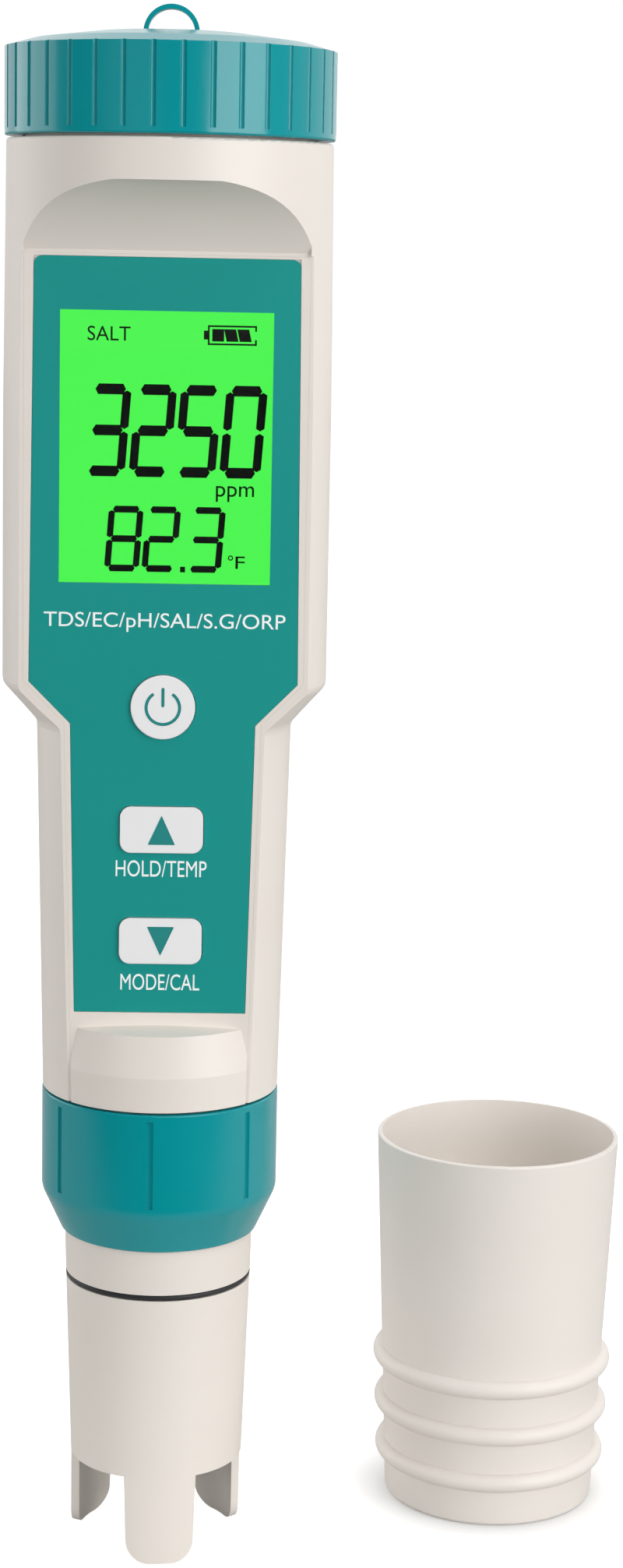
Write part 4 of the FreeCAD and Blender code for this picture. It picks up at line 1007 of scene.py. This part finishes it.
@dataclass
class Studio:
    """White sweep, two softboxes, a front fill, an overhead panel and the camera."""

    eye: tuple[float, float, float] = (6.15 * MM, -362.16 * MM, 159.66 * MM)
    down_deg: float = 10.091
    right_deg: float = 1.842
    roll_deg: float = -1.133
    lens: float = 70.25
    floor_radius: float = 4.0
    floor_gap: float = 0.02 * MM
    panel_at: tuple[float, float, float] = (0.3, -0.12, 0.72)
    panel_wide: float = 0.7
    panel_deep: float = 0.6
    panel_radiance: float = 1.5
    room_front: float = 0.08
    room_back: float = 0.95
    boxes: list[Softbox] = field(default_factory=lambda: [
        Softbox("right_softbox", 47, 0.62, 0.48, 0.75, 0.16, 3.55),
        Softbox("left_softbox", -108, 0.55, 0.5, 0.38, 0.13, 1.35),
        Softbox("front_fill", -27, 0.9, 0.6, 0.6, 0.28, 2.75, mirrored=False),
    ])

    def build(self) -> None:
        """Set the whole scene round the object."""
        self._floor()
        for box in self.boxes:
            box.build()
        self._overhead()
        self._world()
        self._camera()
        bpy.context.scene.view_settings.view_transform = "Standard"

    def _floor(self) -> None:
        """Lay the pale floor just under the object."""
        shape = bmesh.new()
        bmesh.ops.create_circle(shape, cap_ends=True, segments=96, radius=self.floor_radius)
        bmesh.ops.translate(shape, verts=shape.verts[:], vec=(0, 0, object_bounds()[0].z - self.floor_gap))
        mesh = bpy.data.meshes.new("studio_floor")
        shape.to_mesh(mesh)
        shape.free()
        floor = bpy.data.objects.new("studio_floor", mesh)
        bpy.context.scene.collection.objects.link(floor)
        # the painted shadow on the floor is centred on the storage cap's foot
        foot = sum(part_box("storage_cap"), Vector()) / 2
        mesh.materials.append(Sweep("white_paper_sweep_painted_shadow", "stage", foot.x, foot.y).material())
        floor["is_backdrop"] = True

    def _overhead(self) -> None:
        """Hang the panel over the object, to its right and a little to the front."""
        lamp = bpy.data.lights.new("overhead_panel", "AREA")
        lamp.shape = "RECTANGLE"
        lamp.size, lamp.size_y = self.panel_wide, self.panel_deep
        lamp.energy = self.panel_radiance * math.pi * self.panel_wide * self.panel_deep
        holder = bpy.data.objects.new("overhead_panel", lamp)
        holder.location = self.panel_at
        holder.visible_camera = False
        bpy.context.scene.collection.objects.link(holder)

    def _world(self) -> None:
        """Surround: a dim room in front and a bright one behind; the backdrop itself is white."""
        world = bpy.data.worlds.new("studio_room")
        bpy.context.scene.world = world
        world.use_nodes = True
        tree = world.node_tree
        tree.nodes.clear()
        way = add(tree, "ShaderNodeTexCoord").outputs["Generated"]
        depth = add(tree, "ShaderNodeSeparateXYZ", {}, {"Vector": way}).outputs["Y"]
        level = add(tree, "ShaderNodeMapRange",
                    {"From Min": -0.3, "From Max": 0.6, "To Min": self.room_front, "To Max": self.room_back},
                    {"Value": depth}).outputs[0]
        room = add(tree, "ShaderNodeBackground", {"Color": linear("FFFFFF")}, {"Strength": level}).outputs[0]
        backdrop = add(tree, "ShaderNodeBackground", {"Color": linear("FFFFFF"), "Strength": 1.05}).outputs[0]
        seen = add(tree, "ShaderNodeLightPath").outputs["Is Camera Ray"]
        both = add(tree, "ShaderNodeMixShader", {}, {0: seen, 1: room, 2: backdrop}).outputs[0]
        add(tree, "ShaderNodeOutputWorld", {}, {"Surface": both})

    def _camera(self) -> None:
        """Stand the camera before the object."""
        down, right, roll = (math.radians(angle) for angle in (self.down_deg, self.right_deg, self.roll_deg))
        ahead = Vector((math.sin(right) * math.cos(down), math.cos(right) * math.cos(down), -math.sin(down)))
        across = Vector((math.cos(right), -math.sin(right), 0))
        above = across.cross(ahead)
        tilt = Matrix.Rotation(roll, 3, ahead)
        axes = Matrix((tilt @ across, tilt @ above, -ahead)).transposed().to_4x4()
        data = bpy.data.cameras.new("camera")
        data.lens = self.lens
        data.sensor_width = 36
        data.clip_start, data.clip_end = 0.01, 20
        camera = bpy.data.objects.new("camera", data)
        camera.matrix_world = Matrix.Translation(self.eye) @ axes
        bpy.context.scene.collection.objects.link(camera)
        bpy.context.scene.camera = camera


@dataclass(frozen=True)
class Sweep(Finish):
    """Matt paper, white straight on but for a soft painted shadow round a foot; in front of the object its
    colour is painted dark so that it reflects as dark.
    """

    foot_x: float
    foot_y: float
    fibre_mm: float = 4.0
    # painted shadow: within these distances of the foot the glow the camera sees is turned down, so the real
    # contact shadow shows and the patch stays grey
    painted_shadow_from: float = 13 * MM
    painted_shadow_to: float = 22 * MM
    # painted dark reflection: past these depths in front of the object the paper's colour goes dark
    painted_dark_from: float = -50 * MM
    painted_dark_to: float = -130 * MM

    def shade(self, tree: bpy.types.NodeTree) -> bpy.types.NodeSocket:
        """Wire the paper.

        Args:
            tree: Node tree of the material.

        Returns:
            The shader socket.
        """
        where = add(tree, "ShaderNodeTexCoord").outputs["Object"]
        fibre = add(tree, "ShaderNodeTexNoise", {"Scale": per_mm(self.fibre_mm), "Detail": 3.0},
                    {"Vector": where}).outputs[0]
        paper = add(tree, "ShaderNodeMix", {"data_type": "RGBA", 6: linear("C8C7C5"), 7: linear("C4C3C1")},
                    {0: fibre}).outputs[2]
        far = add(tree, "ShaderNodeVectorMath", {"operation": "DISTANCE", 1: (self.foot_x, self.foot_y, 0.0)},
                  {0: where}).outputs["Value"]
        ahead = add(tree, "ShaderNodeSeparateXYZ", {}, {"Vector": where}).outputs["Y"]
        painted_dark_front = add(tree, "ShaderNodeMapRange", {"From Min": self.painted_dark_from, "From Max": self.painted_dark_to},
                   {"Value": ahead}).outputs[0]
        # painted dark reflection: the paper blends to 3A3A3A towards the front, while the glow keeps it white
        # to the camera
        tint = add(tree, "ShaderNodeMix", {"data_type": "RGBA", 7: linear("3A3A3A")},
                   {0: painted_dark_front, 6: paper}).outputs[2]
        # painted shadow: less camera-seen glow close to the foot
        painted_shadow_glow = add(tree, "ShaderNodeMapRange",
                   {"From Min": self.painted_shadow_from, "From Max": self.painted_shadow_to, "To Min": 0.32, "To Max": 0.9},
                   {"Value": far}).outputs[0]
        lift = add(tree, "ShaderNodeMath", {"operation": "ADD"}, {0: painted_shadow_glow, 1: painted_dark_front}).outputs[0]
        seen = add(tree, "ShaderNodeLightPath").outputs["Is Camera Ray"]
        glow = add(tree, "ShaderNodeMath", {"operation": "MULTIPLY"}, {0: lift, 1: seen}).outputs[0]
        shader = add(tree, "ShaderNodeBsdfPrincipled",
                     {"Roughness": 0.9, "Specular IOR Level": 0.0, "Emission Color": linear("FFFFFF")},
                     {"Base Color": tint, "Emission Strength": glow})
        return shader.outputs[0]


def main() -> None:
    """Build the studio and every sub-assembly in order."""
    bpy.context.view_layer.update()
    Studio().build()
    for assembly in (Housing(), FrontLabel(), Display(), Keypad(), Electronics(), BatteryBay(), Collar(),
                     Probe(), StorageCap()):
        assembly.build()
        assembly.dress()
        log.info("built %s", type(assembly).__name__)


if __name__ == "__main__":
    logging.basicConfig(level=logging.INFO)
    main()
